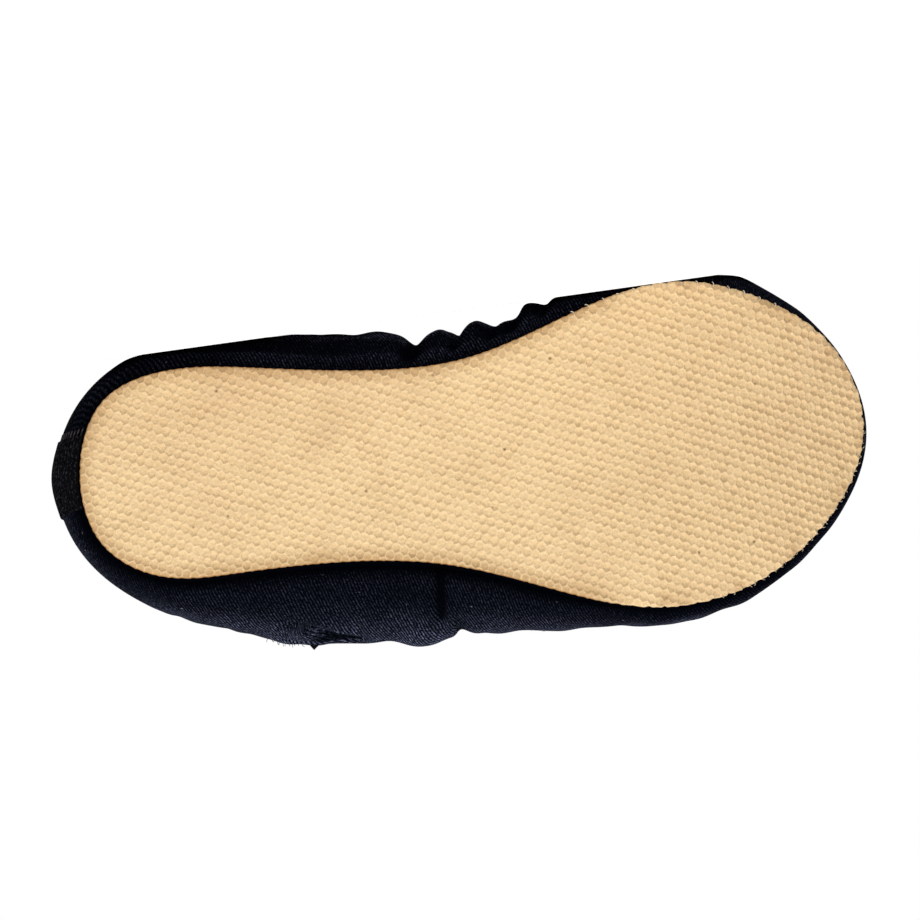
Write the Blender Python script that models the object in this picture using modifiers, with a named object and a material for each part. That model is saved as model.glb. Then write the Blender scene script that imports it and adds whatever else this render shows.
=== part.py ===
"""A child's soft gym slipper for the left foot, lying on its inner side.

A thin rubber outsole is sewn to a hollow cloth upper, with an insole inside and a ribbed tape over the
back seam. The pieces are shaped in the shoe's own frame, in millimetres: along runs from heel to toe,
across towards the outer side of the foot, and up is away from the ground when the shoe is worn. An empty
then lays the whole shoe on its side. Run it with: blender --background --python part.py
"""

import math
from collections import namedtuple

import bmesh
import bpy
import numpy as np
from mathutils import Matrix, Vector

MM = 0.001
COLLECTION = "gym_slipper"

# Driving sizes of the shoe, in millimetres.
SOLE_LENGTH = 182.0
BALL_WIDTH = 76.0
HEEL_HEIGHT = 48.0
SIDE_HEIGHT = 40.0
INSTEP_HEIGHT = 49.0

# The sole is flat from the heel to the ball, and curls up from there to the tip of the toe.
SPRING_START = 0.615 * SOLE_LENGTH
TOE_SPRING = 19.0
SOLE_THICKNESS = 2.2
INSOLE_THICKNESS = 1.6
INSOLE_INSET = 3.0

# Cloth: a single wall, a hem folded to double at the collar, and a seam margin turned in over the sole.
WALL = 1.3
HEM_THICKNESS = 2.4
HEM_ROWS = 3
SEAM_MARGIN = 6.0
GAP = 0.3

# The collar is an oval in plan, with ends fuller than an ellipse's. It leans in over the foot at its sides
# and lies back at the throat.
COLLAR_BACK = 1.0
COLLAR_FRONT = 97.0
COLLAR_WIDTH = 38.0
COLLAR_OFFSET = 3.0
COLLAR_FULLNESS = 0.6
HEEL_LEAN = 12.0
SIDE_LEAN = 48.0
THROAT_LEAN = 66.0

# The ribbed tape over the back seam.
TAPE_WIDTH = 18.0
TAPE_THICKNESS = 0.6
TAPE_FOOT = 0.16
TAPE_GAP = 0.42

# How the shoe lies: turned about the line of sight to its sole, and with the sole leaning over its edge.
ROLL = 7.9
LEAN = 3.0
PRESS_BLEND = 1.2

# How finely each surface is divided, and how near two of its points are welded.
RIB_COLUMNS = 84
MARGIN_ROWS = 2
BULGE_ROWS = 6
SHOULDER_ROWS = 9
PLATE_STATIONS = 44
PLATE_COLUMNS = 8
TAPE_COLUMNS = 8
TAPE_ROWS = 14
WELD_DISTANCE = 0.01

# One row for each rib of the upper, round the shoe from the tip of the toe by way of its outer side.
# along and across place the rib's foot on the sole's edge, in percent of the sole's length and ball width.
# overhang is how far the cloth bulges past the sole, and bulge how high its widest point is over the sole.
# rise and reach are how far it runs on straight above that point and below the collar, in millimetres.
# collar is where the rib ends, in degrees round the collar from the throat.
Rib = namedtuple("Rib", "name along across overhang bulge rise reach collar")
RIBS = (
    Rib("toe tip", 100.0, -11.2, 4.4, 7.0, 10.0, 34.0, 0),
    Rib("outer toe", 95.0, 18.6, 4.2, 7.5, 11.0, 31.0, 9),
    Rib("outer ball front", 85.7, 37.5, 3.7, 9.5, 12.0, 28.0, 17),
    Rib("outer ball", 74.2, 44.7, 4.0, 12.0, 13.0, 23.0, 27),
    Rib("outer joint", 59.9, 39.1, 9.4, 17.0, 12.0, 16.0, 43),
    Rib("outer waist", 46.7, 31.8, 16.4, 21.0, 10.0, 11.0, 63),
    Rib("outer arch", 34.1, 30.9, 17.8, 22.0, 8.0, 8.0, 87),
    Rib("outer quarter", 19.8, 34.5, 13.0, 21.0, 9.0, 8.0, 115),
    Rib("outer heel", 10.4, 35.4, 7.1, 14.0, 10.0, 8.0, 140),
    Rib("outer heel corner", 3.2, 26.6, 4.9, 10.5, 11.0, 9.0, 161),
    Rib("heel back", 0.0, 2.6, 5.8, 9.5, 12.0, 10.0, 180),
    Rib("inner heel corner", 3.2, -18.8, 4.7, 10.5, 11.0, 9.0, 199),
    Rib("inner heel", 10.4, -27.0, 7.0, 13.0, 10.0, 8.0, 220),
    Rib("inner quarter", 22.0, -28.2, 8.9, 15.0, 9.0, 8.0, 247),
    Rib("inner waist", 36.8, -27.4, 8.9, 15.0, 8.0, 8.0, 279),
    Rib("inner arch", 48.4, -30.7, 7.2, 14.5, 10.0, 11.0, 302),
    Rib("inner joint", 59.9, -41.8, 5.8, 13.0, 12.0, 16.0, 321),
    Rib("inner ball", 76.4, -54.8, 4.4, 12.0, 13.0, 23.0, 335),
    Rib("inner ball front", 86.8, -50.0, 4.2, 9.5, 12.0, 28.0, 344),
    Rib("inner toe", 95.6, -36.9, 3.0, 7.5, 11.0, 31.0, 352),
)
HEEL_RIB = [rib.name for rib in RIBS].index("heel back")

Finish = namedtuple("Finish", "name colour roughness")
RUBBER = Finish("natural_rubber", (0.79, 0.56, 0.30, 1.0), 0.75)
TWILL = Finish("black_cotton_twill", (0.008, 0.009, 0.014, 1.0), 0.9)
ELASTIC = Finish("black_ribbed_tape", (0.010, 0.010, 0.012, 1.0), 0.85)
CANVAS = Finish("natural_canvas", (0.62, 0.56, 0.46, 1.0), 0.9)


def smooth_loop(knots, values):
    """A function that reads a closed curve of even curvature through rows of values.

    knots holds the place of each row along the loop, and the loop's whole length last.
    """
    steps = np.diff(knots)
    before = np.roll(steps, 1)
    slopes = (np.roll(values, -1, axis=0) - values) / steps[:, None]
    count = len(values)
    balance = np.zeros((count, count))
    for row in range(count):
        balance[row, row - 1] += steps[row]
        balance[row, row] += 2 * (before[row] + steps[row])
        balance[row, (row + 1) % count] += before[row]
    pull = 3 * (steps[:, None] * np.roll(slopes, 1, axis=0) + before[:, None] * slopes)
    tangents = np.linalg.solve(balance, pull)

    def read(place):
        place = place % knots[-1]
        row = min(int(np.searchsorted(knots, place, side="right")) - 1, count - 1)
        step, after = steps[row], (row + 1) % count
        part = (place - knots[row]) / step
        rest = 1 - part
        ends = values[row] * rest**2 * (1 + 2 * part) + values[after] * part**2 * (1 + 2 * rest)
        return ends + step * part * rest * (tangents[row] * rest - tangents[after] * part)

    return read


def rib_table():
    """The ribs' feet in millimetres, their places along the sole's edge, and the rows to be read smoothly."""
    feet = np.array([(rib.along * SOLE_LENGTH, rib.across * BALL_WIDTH) for rib in RIBS]) / 100
    spans = np.linalg.norm(np.roll(feet, -1, axis=0) - feet, axis=1)
    knots = np.concatenate([[0.0], np.cumsum(spans)])
    drift = np.array([rib.collar for rib in RIBS]) - 360 * knots[:-1] / knots[-1]
    shapes = np.array([(rib.overhang, rib.bulge, rib.rise, rib.reach) for rib in RIBS])
    return knots, np.column_stack([feet, shapes, drift])


KNOTS, ROWS = rib_table()
PERIMETER = KNOTS[-1]
HEEL_SHARE = KNOTS[HEEL_RIB] / PERIMETER
read_ribs = smooth_loop(KNOTS, ROWS)


def edge(share):
    """A point of the sole's edge in plan, and the direction that leads straight out from it."""
    step = 1e-4
    here = read_ribs(share * PERIMETER)[:2]
    run = read_ribs((share + step) * PERIMETER)[:2] - read_ribs((share - step) * PERIMETER)[:2]
    run /= np.linalg.norm(run)
    return here, np.array([run[1], -run[0]])


def spring(along):
    """Height and slope of the sole's underside at a distance from the heel."""
    span = SOLE_LENGTH - SPRING_START
    past = max(0.0, along - SPRING_START) / span
    return TOE_SPRING * past**2, 2 * TOE_SPRING * past / span


def over_sole(along, across, lift):
    """A point at a height over the sole's underside, measured square to it."""
    height, slope = spring(along)
    tilt = math.atan(slope)
    return Vector((along - lift * math.sin(tilt), across, height + lift * math.cos(tilt)))


def collar_point(angle):
    """A point of the collar, and the direction in which the cloth arrives there."""
    turn = math.radians(angle)
    middle, half = (COLLAR_FRONT + COLLAR_BACK) / 2, (COLLAR_FRONT - COLLAR_BACK) / 2
    cosine, sine = math.cos(turn), math.sin(turn)
    front, back = max(0.0, cosine) ** 2, max(0.0, -cosine) ** 2
    height = SIDE_HEIGHT + (INSTEP_HEIGHT - SIDE_HEIGHT) * front + (HEEL_HEIGHT - SIDE_HEIGHT) * back
    lean = math.radians(SIDE_LEAN + (THROAT_LEAN - SIDE_LEAN) * front + (HEEL_LEAN - SIDE_LEAN) * back)
    aside = COLLAR_WIDTH / 2 * sine * (1 + COLLAR_FULLNESS * cosine**2)
    aside_rate = COLLAR_WIDTH / 2 * cosine * (1 + COLLAR_FULLNESS * (1 - 3 * sine**2))
    inward = Vector((-aside_rate, -half * sine, 0.0)).normalized()
    place = Vector((middle + half * cosine, COLLAR_OFFSET + aside, height))
    return place, inward * math.sin(lean) + Vector((0.0, 0.0, math.cos(lean)))


def margin_part(share, part):
    """The seam margin, which lies on the sole from its free rim to the sole's edge."""
    foot, out = edge(share)
    along, across = foot - out * SEAM_MARGIN * (1 - part)
    return over_sole(along, across, SOLE_THICKNESS + GAP)


def widest_point(share, part):
    """The cloth from the sole's edge, where it runs straight out, to its widest point, where it runs up."""
    foot, out = edge(share)
    overhang, bulge = read_ribs(share * PERIMETER)[2:4]
    tilt = math.atan(spring(foot[0])[1])
    out_along = Vector((out[0] * math.cos(tilt), out[1], out[0] * math.sin(tilt)))
    up = Vector((-math.sin(tilt), 0.0, math.cos(tilt)))
    turn = part * math.pi / 2
    start = over_sole(foot[0], foot[1], SOLE_THICKNESS + GAP)
    return start + out_along * overhang * math.sin(turn) + up * bulge * (1 - math.cos(turn)), up


def shoulder_part(share, part):
    """The cloth from its widest point, over the foot, to the collar."""
    rise, reach, drift = read_ribs(share * PERIMETER)[4:7]
    start, up = widest_point(share, 1.0)
    end, arrive = collar_point(drift + 360 * share)
    rest = 1 - part
    return (
        start * rest**3
        + (start + up * rise) * 3 * part * rest**2
        + (end - arrive * reach) * 3 * part**2 * rest
        + end * part**3
    )


def upper_point(share, row):
    """A point of the cloth's outer face, by its share of the way round and its row up from the margin's rim."""
    if row <= MARGIN_ROWS:
        return margin_part(share, row / MARGIN_ROWS)
    if row <= MARGIN_ROWS + BULGE_ROWS:
        return widest_point(share, (row - MARGIN_ROWS) / BULGE_ROWS)[0]
    return shoulder_part(share, (row - MARGIN_ROWS - BULGE_ROWS) / SHOULDER_ROWS)


def lying_turn():
    """The turn from the shoe's own frame to the lying shoe: toe to -X, sole to -Y, inner side down."""
    laid = Matrix(((-1, 0, 0), (0, 0, 1), (0, 1, 0))).to_4x4()
    roll = Matrix.Rotation(math.radians(ROLL), 4, "Y")
    return Matrix.Rotation(math.radians(LEAN), 4, "X") @ roll @ laid


def pressed(point, turn, floor):
    """A point of the cloth, moved straight up to the floor where the floor presses it in."""
    lying = turn @ point
    depth = lying.z - floor
    if depth < PRESS_BLEND:
        lying.z = floor + max(0.0, depth + PRESS_BLEND) ** 2 / (4 * PRESS_BLEND)
    return turn.inverted() @ lying


def bent_grid(name, columns, rows, place, parent, finish):
    """An object whose grid of columns and rows is bent to place(column share, row share), in millimetres."""
    shape = bmesh.new()
    bmesh.ops.create_grid(shape, x_segments=columns, y_segments=rows, size=0.5)
    for vertex in shape.verts:
        vertex.co = place(vertex.co.x + 0.5, vertex.co.y + 0.5) * MM
    bmesh.ops.remove_doubles(shape, verts=shape.verts, dist=WELD_DISTANCE * MM)
    mesh = bpy.data.meshes.new(name)
    shape.to_mesh(mesh)
    shape.free()
    mesh.shade_smooth()
    mesh.materials.append(material_of(finish))
    piece = bpy.data.objects.new(name, mesh)
    piece.parent = parent
    bpy.data.collections[COLLECTION].objects.link(piece)
    return piece


def thicken(piece, thickness, side):
    """Gives an open surface its thickness, on the side that its faces point to (1) or away from it (-1)."""
    solidify = piece.modifiers.new("thickness", "SOLIDIFY")
    solidify.thickness = thickness * MM
    solidify.offset = side
    solidify.use_even_offset = True
    solidify.use_quality_normals = True
    return solidify


def material_of(finish):
    """The Principled material of a finish, made once."""
    found = bpy.data.materials.get(finish.name)
    if found:
        return found
    made = bpy.data.materials.new(finish.name)
    made.use_nodes = True
    shader = made.node_tree.nodes["Principled BSDF"]
    shader.inputs["Base Color"].default_value = finish.colour
    shader.inputs["Roughness"].default_value = finish.roughness
    shader.inputs["Metallic"].default_value = 0.0
    return made


def plate(name, inset, lift, thickness, parent, finish):
    """A plate with the sole's outline and toe spring, from its underside up."""

    def place(station, column):
        outer, outer_way = edge(HEEL_SHARE * (1 - station))
        inner, inner_way = edge(HEEL_SHARE + (1 - HEEL_SHARE) * station)
        near, far = inner - inner_way * inset, outer - outer_way * inset
        along, across = near + (far - near) * column
        return over_sole(along, across, lift)

    piece = bent_grid(name, PLATE_STATIONS, PLATE_COLUMNS, place, parent, finish)
    thicken(piece, thickness, 1)
    return piece


def upper(parent, turn, floor):
    """The hollow cloth upper, open at the collar and underneath, pressed flat where it lies on the floor."""
    rows = MARGIN_ROWS + BULGE_ROWS + SHOULDER_ROWS

    def place(share, climb):
        return pressed(upper_point(share, climb * rows), turn, floor)

    piece = bent_grid("upper", RIB_COLUMNS, rows, place, parent, TWILL)
    hem = piece.vertex_groups.new(name="hem")
    for vertex in piece.data.vertices:
        hem.add([vertex.index], WALL / HEM_THICKNESS, "REPLACE")
    hem.add(hem_vertices(piece, turn, floor), 1.0, "REPLACE")
    solidify = thicken(piece, HEM_THICKNESS, -1)
    solidify.vertex_group = hem.name
    return piece


def hem_vertices(piece, turn, floor):
    """The vertices of the upper's top rows, where the hem is folded."""
    rows = MARGIN_ROWS + BULGE_ROWS + SHOULDER_ROWS
    found = []
    for column in range(RIB_COLUMNS):
        for row in range(rows - HEM_ROWS + 1, rows + 1):
            wanted = pressed(upper_point(column / RIB_COLUMNS, row), turn, floor) * MM
            found.append(min(piece.data.vertices, key=lambda v: (v.co - wanted).length_squared).index)
    return found


def heel_tape(parent):
    """The ribbed tape over the back seam, from just over the sole to the collar, on the upper's own shape."""
    first = MARGIN_ROWS + TAPE_FOOT * BULGE_ROWS
    last = MARGIN_ROWS + BULGE_ROWS + SHOULDER_ROWS
    step = 0.001

    def round_way(share, row):
        return (upper_point(share + step, row) - upper_point(share - step, row)) / (2 * step)

    def place(column, climb):
        row = first + (last - first) * climb
        share = HEEL_SHARE + TAPE_WIDTH * (column - 0.5) / round_way(HEEL_SHARE, row).length
        up_way = upper_point(share, min(last, row + step)) - upper_point(share, row - step)
        out = round_way(share, row).cross(up_way).normalized()
        return upper_point(share, row) + out * TAPE_GAP

    piece = bent_grid("heel_tape", TAPE_COLUMNS, TAPE_ROWS, place, parent, ELASTIC)
    thicken(piece, TAPE_THICKNESS, 1)
    return piece


def lying_points(pieces):
    """Every corner of the finished pieces, in the world."""
    bpy.context.view_layer.update()
    graph = bpy.context.evaluated_depsgraph_get()
    points = []
    for piece in pieces:
        done = piece.evaluated_get(graph)
        points += [tuple(done.matrix_world @ vertex.co) for vertex in done.data.vertices]
    return np.array(points)


def main():
    """Builds the shoe, lays it on its inner side and puts the origin under the middle of its box."""
    for found in list(bpy.data.objects):
        bpy.data.objects.remove(found)
    collection = bpy.data.collections.new(COLLECTION)
    bpy.context.scene.collection.children.link(collection)
    shoe = bpy.data.objects.new("lying_shoe", None)
    collection.objects.link(shoe)
    turn = lying_turn()
    shoe.matrix_world = turn

    outsole = plate("outsole", 0.0, 0.0, SOLE_THICKNESS, shoe, RUBBER)
    floor = lying_points([outsole])[:, 2].min() / MM
    cloth = upper(shoe, turn, floor)
    insole_lift = SOLE_THICKNESS + GAP + WALL + GAP
    insole = plate("insole", INSOLE_INSET, insole_lift, INSOLE_THICKNESS, shoe, CANVAS)
    tape = heel_tape(shoe)

    points = lying_points([outsole, cloth, insole, tape])
    low, high = points.min(axis=0), points.max(axis=0)
    middle = (low + high) / 2
    shoe.matrix_world = Matrix.Translation((-middle[0], -middle[1], -low[2])) @ turn


main()
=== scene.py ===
"""Looks of a child's soft gym slipper that lies on its inner side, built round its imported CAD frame.

Shapes are worked out in the shoe's own frame, in millimetres, as the part's source does: along runs from heel
to toe, across towards the outer side of the foot, and up is away from the ground when the shoe is worn.
The last step lays them in the frame's world, in metres.
"""
import logging
import math
from dataclasses import dataclass, field
from enum import Enum
from functools import partial

import bpy
import numpy as np
from bpy.types import Material, Node, NodeSocket, NodeTree, Object
from mathutils import Matrix, Vector
from mathutils.geometry import delaunay_2d_cdt
from mathutils.kdtree import KDTree


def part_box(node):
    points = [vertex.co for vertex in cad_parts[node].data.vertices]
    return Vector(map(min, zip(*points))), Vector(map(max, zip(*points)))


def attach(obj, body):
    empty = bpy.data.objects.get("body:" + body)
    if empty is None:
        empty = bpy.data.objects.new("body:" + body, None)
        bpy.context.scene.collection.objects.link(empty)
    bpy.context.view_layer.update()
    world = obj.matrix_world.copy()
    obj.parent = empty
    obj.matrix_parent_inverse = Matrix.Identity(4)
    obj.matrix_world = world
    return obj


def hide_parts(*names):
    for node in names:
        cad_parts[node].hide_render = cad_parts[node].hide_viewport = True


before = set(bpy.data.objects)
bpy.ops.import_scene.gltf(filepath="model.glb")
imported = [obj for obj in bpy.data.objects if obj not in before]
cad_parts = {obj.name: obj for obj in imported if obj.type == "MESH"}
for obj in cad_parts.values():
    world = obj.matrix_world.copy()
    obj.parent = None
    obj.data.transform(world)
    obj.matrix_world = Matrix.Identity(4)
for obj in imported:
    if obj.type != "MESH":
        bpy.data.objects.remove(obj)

Array = np.ndarray
Pair = tuple[float, float]
MM = 0.001
BODY = "root"
CORD_SIDES = 5
EASED = "SMOOTHSTEP"
log = logging.getLogger("gym_slipper")


class Side(Enum):
    """The two sides of the shoe, by the sign of the way across."""

    OUTER = 1
    INNER = -1


class Slot(Enum):
    """The record's material slots."""

    RUBBER = "natural_rubber"
    TWILL = "cotton_twill"
    CANVAS = "natural_canvas"
    TAPE = "ribbed_tape"


@dataclass(frozen=True)
class Rib:
    """One rib of the last, from a foot on the sole's edge up to the collar.

    along and across place its foot in percent of the sole's length and ball width. overhang is how far the
    cloth bulges past the sole and bulge how high its widest point is. rise and reach are how far it runs on
    straight above that point and below the collar, in millimetres. collar is where it ends, in degrees.
    """

    name: str
    along: float
    across: float
    overhang: float
    bulge: float
    rise: float
    reach: float
    collar: float


RIBS = (
    Rib("toe tip", 100.0, -11.2, 4.4, 7.0, 10.0, 34.0, 0),
    Rib("outer toe", 95.0, 18.6, 4.2, 7.5, 11.0, 31.0, 9),
    Rib("outer ball front", 85.7, 37.5, 3.7, 9.5, 12.0, 28.0, 17),
    Rib("outer ball", 74.2, 44.7, 4.0, 12.0, 13.0, 23.0, 27),
    Rib("outer joint", 59.9, 39.1, 9.4, 17.0, 12.0, 16.0, 43),
    Rib("outer waist", 46.7, 31.8, 16.4, 21.0, 10.0, 11.0, 63),
    Rib("outer arch", 34.1, 30.9, 17.8, 22.0, 8.0, 8.0, 87),
    Rib("outer quarter", 19.8, 34.5, 13.0, 21.0, 9.0, 8.0, 115),
    Rib("outer heel", 10.4, 35.4, 7.1, 14.0, 10.0, 8.0, 140),
    Rib("outer heel corner", 3.2, 26.6, 4.9, 10.5, 11.0, 9.0, 161),
    Rib("heel back", 0.0, 2.6, 5.8, 9.5, 12.0, 10.0, 180),
    Rib("inner heel corner", 3.2, -18.8, 4.7, 10.5, 11.0, 9.0, 199),
    Rib("inner heel", 10.4, -27.0, 7.0, 13.0, 10.0, 8.0, 220),
    Rib("inner quarter", 22.0, -28.2, 8.9, 15.0, 9.0, 8.0, 247),
    Rib("inner waist", 36.8, -27.4, 8.9, 15.0, 8.0, 8.0, 279),
    Rib("inner arch", 48.4, -30.7, 7.2, 14.5, 10.0, 11.0, 302),
    Rib("inner joint", 59.9, -41.8, 5.8, 13.0, 12.0, 16.0, 321),
    Rib("inner ball", 76.4, -54.8, 4.4, 12.0, 13.0, 23.0, 335),
    Rib("inner ball front", 86.8, -50.0, 4.2, 9.5, 12.0, 28.0, 344),
    Rib("inner toe", 95.6, -36.9, 3.0, 7.5, 11.0, 31.0, 352),
)


@dataclass(frozen=True)
class Crease:
    """A soft ridge (lift above 0) or trough (below 0) of the cloth.

    It runs from one place to another, each given along the shoe and as a climb up the cloth from the sole's
    edge. heelward and toeward are how wide its two flanks are, all in millimetres.
    """

    name: str
    side: Side
    along_from: float
    climb_from: float
    along_to: float
    climb_to: float
    lift: float
    heelward: float
    toeward: float

    def seen_from(self, along: Array, climb: Array) -> tuple[Array, Array, float]:
        """Places of the cloth as the crease sees them.

        Args:
            along: how far along the shoe the places are.
            climb: how far up the cloth they are.

        Returns:
            How far along the crease's run they lie, how far to its toeward side, and the length of its run.
        """
        run = np.array([self.along_to - self.along_from, self.climb_to - self.climb_from])
        span = float(np.linalg.norm(run))
        ahead, above = along - self.along_from, climb - self.climb_from
        return (ahead * run[0] + above * run[1]) / span, (ahead * run[1] - above * run[0]) / span, span


PLEAT_LIP = Crease("outer pleat's lip", Side.OUTER, 54.5, 16.8, 68.0, 25.6, 0.4, 0.8, 2.4)
CREASES = (
    Crease("outer tuck", Side.OUTER, 83.6, 2.0, 84.0, 14.5, -2.0, 1.4, 0.9),
    Crease("outer tuck's lip", Side.OUTER, 86.6, 4.0, 87.0, 17.0, 0.6, 1.6, 2.2),
    Crease("outer dimple", Side.OUTER, 72.8, 5.0, 74.8, 11.0, -0.7, 3.6, 4.2),
    Crease("outer pouch", Side.OUTER, 79.5, 22.0, 80.5, 38.0, 1.6, 5.0, 4.5),
    Crease("outer pouch's end", Side.OUTER, 87.4, 17.0, 89.0, 40.0, -1.5, 1.2, 2.6),
    PLEAT_LIP,
    Crease("outer pleat's pocket", Side.OUTER, 60.0, 23.2, 66.6, 26.8, -0.3, 2.6, 1.2),
    Crease("outer pleat's first fold", Side.OUTER, 49.5, 16.6, 64.6, 24.6, -0.9, 0.6, 0.5),
    Crease("outer pleat's second fold", Side.OUTER, 49.0, 18.8, 65.2, 25.8, -0.9, 0.6, 0.5),
    Crease("outer pleat's third fold", Side.OUTER, 49.0, 21.4, 65.4, 26.8, -0.9, 0.6, 0.5),
    Crease("outer pleat's fourth fold", Side.OUTER, 49.5, 24.2, 65.0, 27.8, -0.9, 0.6, 0.5),
    Crease("outer pleat's fifth fold", Side.OUTER, 51.0, 27.6, 61.5, 28.8, -0.8, 0.55, 0.5),
    Crease("outer pleat's belly", Side.OUTER, 50.0, 30.0, 55.0, 38.0, 1.3, 7.0, 6.0),
    Crease("outer hollow", Side.OUTER, 122.0, 6.0, 124.0, 24.0, -1.0, 7.0, 7.0),
    Crease("inner valley", Side.INNER, 30.0, 6.0, 104.0, 5.0, -0.9, 2.2, 2.2),
    Crease("inner hump", Side.INNER, 68.6, 6.0, 70.4, 36.0, 0.7, 6.0, 5.0),
    Crease("inner first gather", Side.INNER, 76.6, 5.0, 80.0, 36.0, -2.0, 2.4, 1.8),
    Crease("inner first roll", Side.INNER, 83.0, 7.0, 85.5, 36.0, 1.1, 2.8, 2.4),
    Crease("inner second gather", Side.INNER, 86.4, 7.0, 90.0, 36.0, -1.1, 1.4, 1.3),
    Crease("inner second roll", Side.INNER, 90.9, 7.0, 93.3, 36.0, 1.6, 2.4, 2.2),
    Crease("inner third gather", Side.INNER, 94.8, 7.0, 98.0, 34.0, -0.9, 1.6, 1.5),
    Crease("inner shelf", Side.INNER, 99.8, 7.0, 102.4, 34.0, -1.2, 2.6, 2.2),
    Crease("inner third roll", Side.INNER, 103.4, 6.0, 105.6, 32.0, 1.2, 2.4, 2.2),
    Crease("inner fourth gather", Side.INNER, 107.0, 6.0, 109.2, 30.0, -0.9, 1.5, 1.5),
    Crease("inner fourth roll", Side.INNER, 110.8, 6.0, 112.6, 28.0, 0.6, 2.4, 3.0),
)


def smooth_step(low: float, high: float | Array, values: Array | float) -> Array:
    """Eased steps from 0 at low to 1 at high, where high may be the smaller."""
    part = np.clip((values - low) / (high - low), 0.0, 1.0)
    return part * part * (3 - 2 * part)


def unit(vectors: Array) -> Array:
    """Vectors of length one, in the directions given."""
    return vectors / np.maximum(np.linalg.norm(vectors, axis=-1, keepdims=True), 1e-9)


def right_of(ways: Array) -> Array:
    """Directions in plan, turned by a right angle to the right."""
    return np.column_stack([ways[:, 1], -ways[:, 0]])


def outward(loop: Array) -> Array:
    """Directions that lead straight out from the points of a closed outline in plan."""
    return right_of(unit(np.roll(loop, -1, axis=0) - np.roll(loop, 1, axis=0)))


class ClosedCurve:
    """A closed curve of even curvature through rows of values."""

    def __init__(self, knots: Array, values: Array) -> None:
        """Solves for the slope at each row.

        Args:
            knots: the place of each row along the loop, and the loop's whole length last.
            values: one row for each knot but the last.
        """
        steps = np.diff(knots)
        before = np.roll(steps, 1)
        slopes = (np.roll(values, -1, axis=0) - values) / steps[:, None]
        count = len(values)
        balance = np.zeros((count, count))
        for row in range(count):
            balance[row, row - 1] += steps[row]
            balance[row, row] += 2 * (before[row] + steps[row])
            balance[row, (row + 1) % count] += before[row]
        pull = 3 * (steps[:, None] * np.roll(slopes, 1, axis=0) + before[:, None] * slopes)
        self.tangents = np.linalg.solve(balance, pull)
        self.knots, self.values, self.steps = knots, values, steps

    def read(self, places: Array) -> Array:
        """Reads the curve.

        Args:
            places: places along the loop.

        Returns:
            A row of values for each place.
        """
        places = np.asarray(places) % self.knots[-1]
        rows = np.minimum(np.searchsorted(self.knots, places, side="right") - 1, len(self.values) - 1)
        after = (rows + 1) % len(self.values)
        step = self.steps[rows][:, None]
        part = (places - self.knots[rows])[:, None] / step
        rest = 1 - part
        ends = self.values[rows] * rest**2 * (1 + 2 * part) + self.values[after] * part**2 * (1 + 2 * rest)
        return ends + step * part * rest * (self.tangents[rows] * rest - self.tangents[after] * part)


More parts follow.
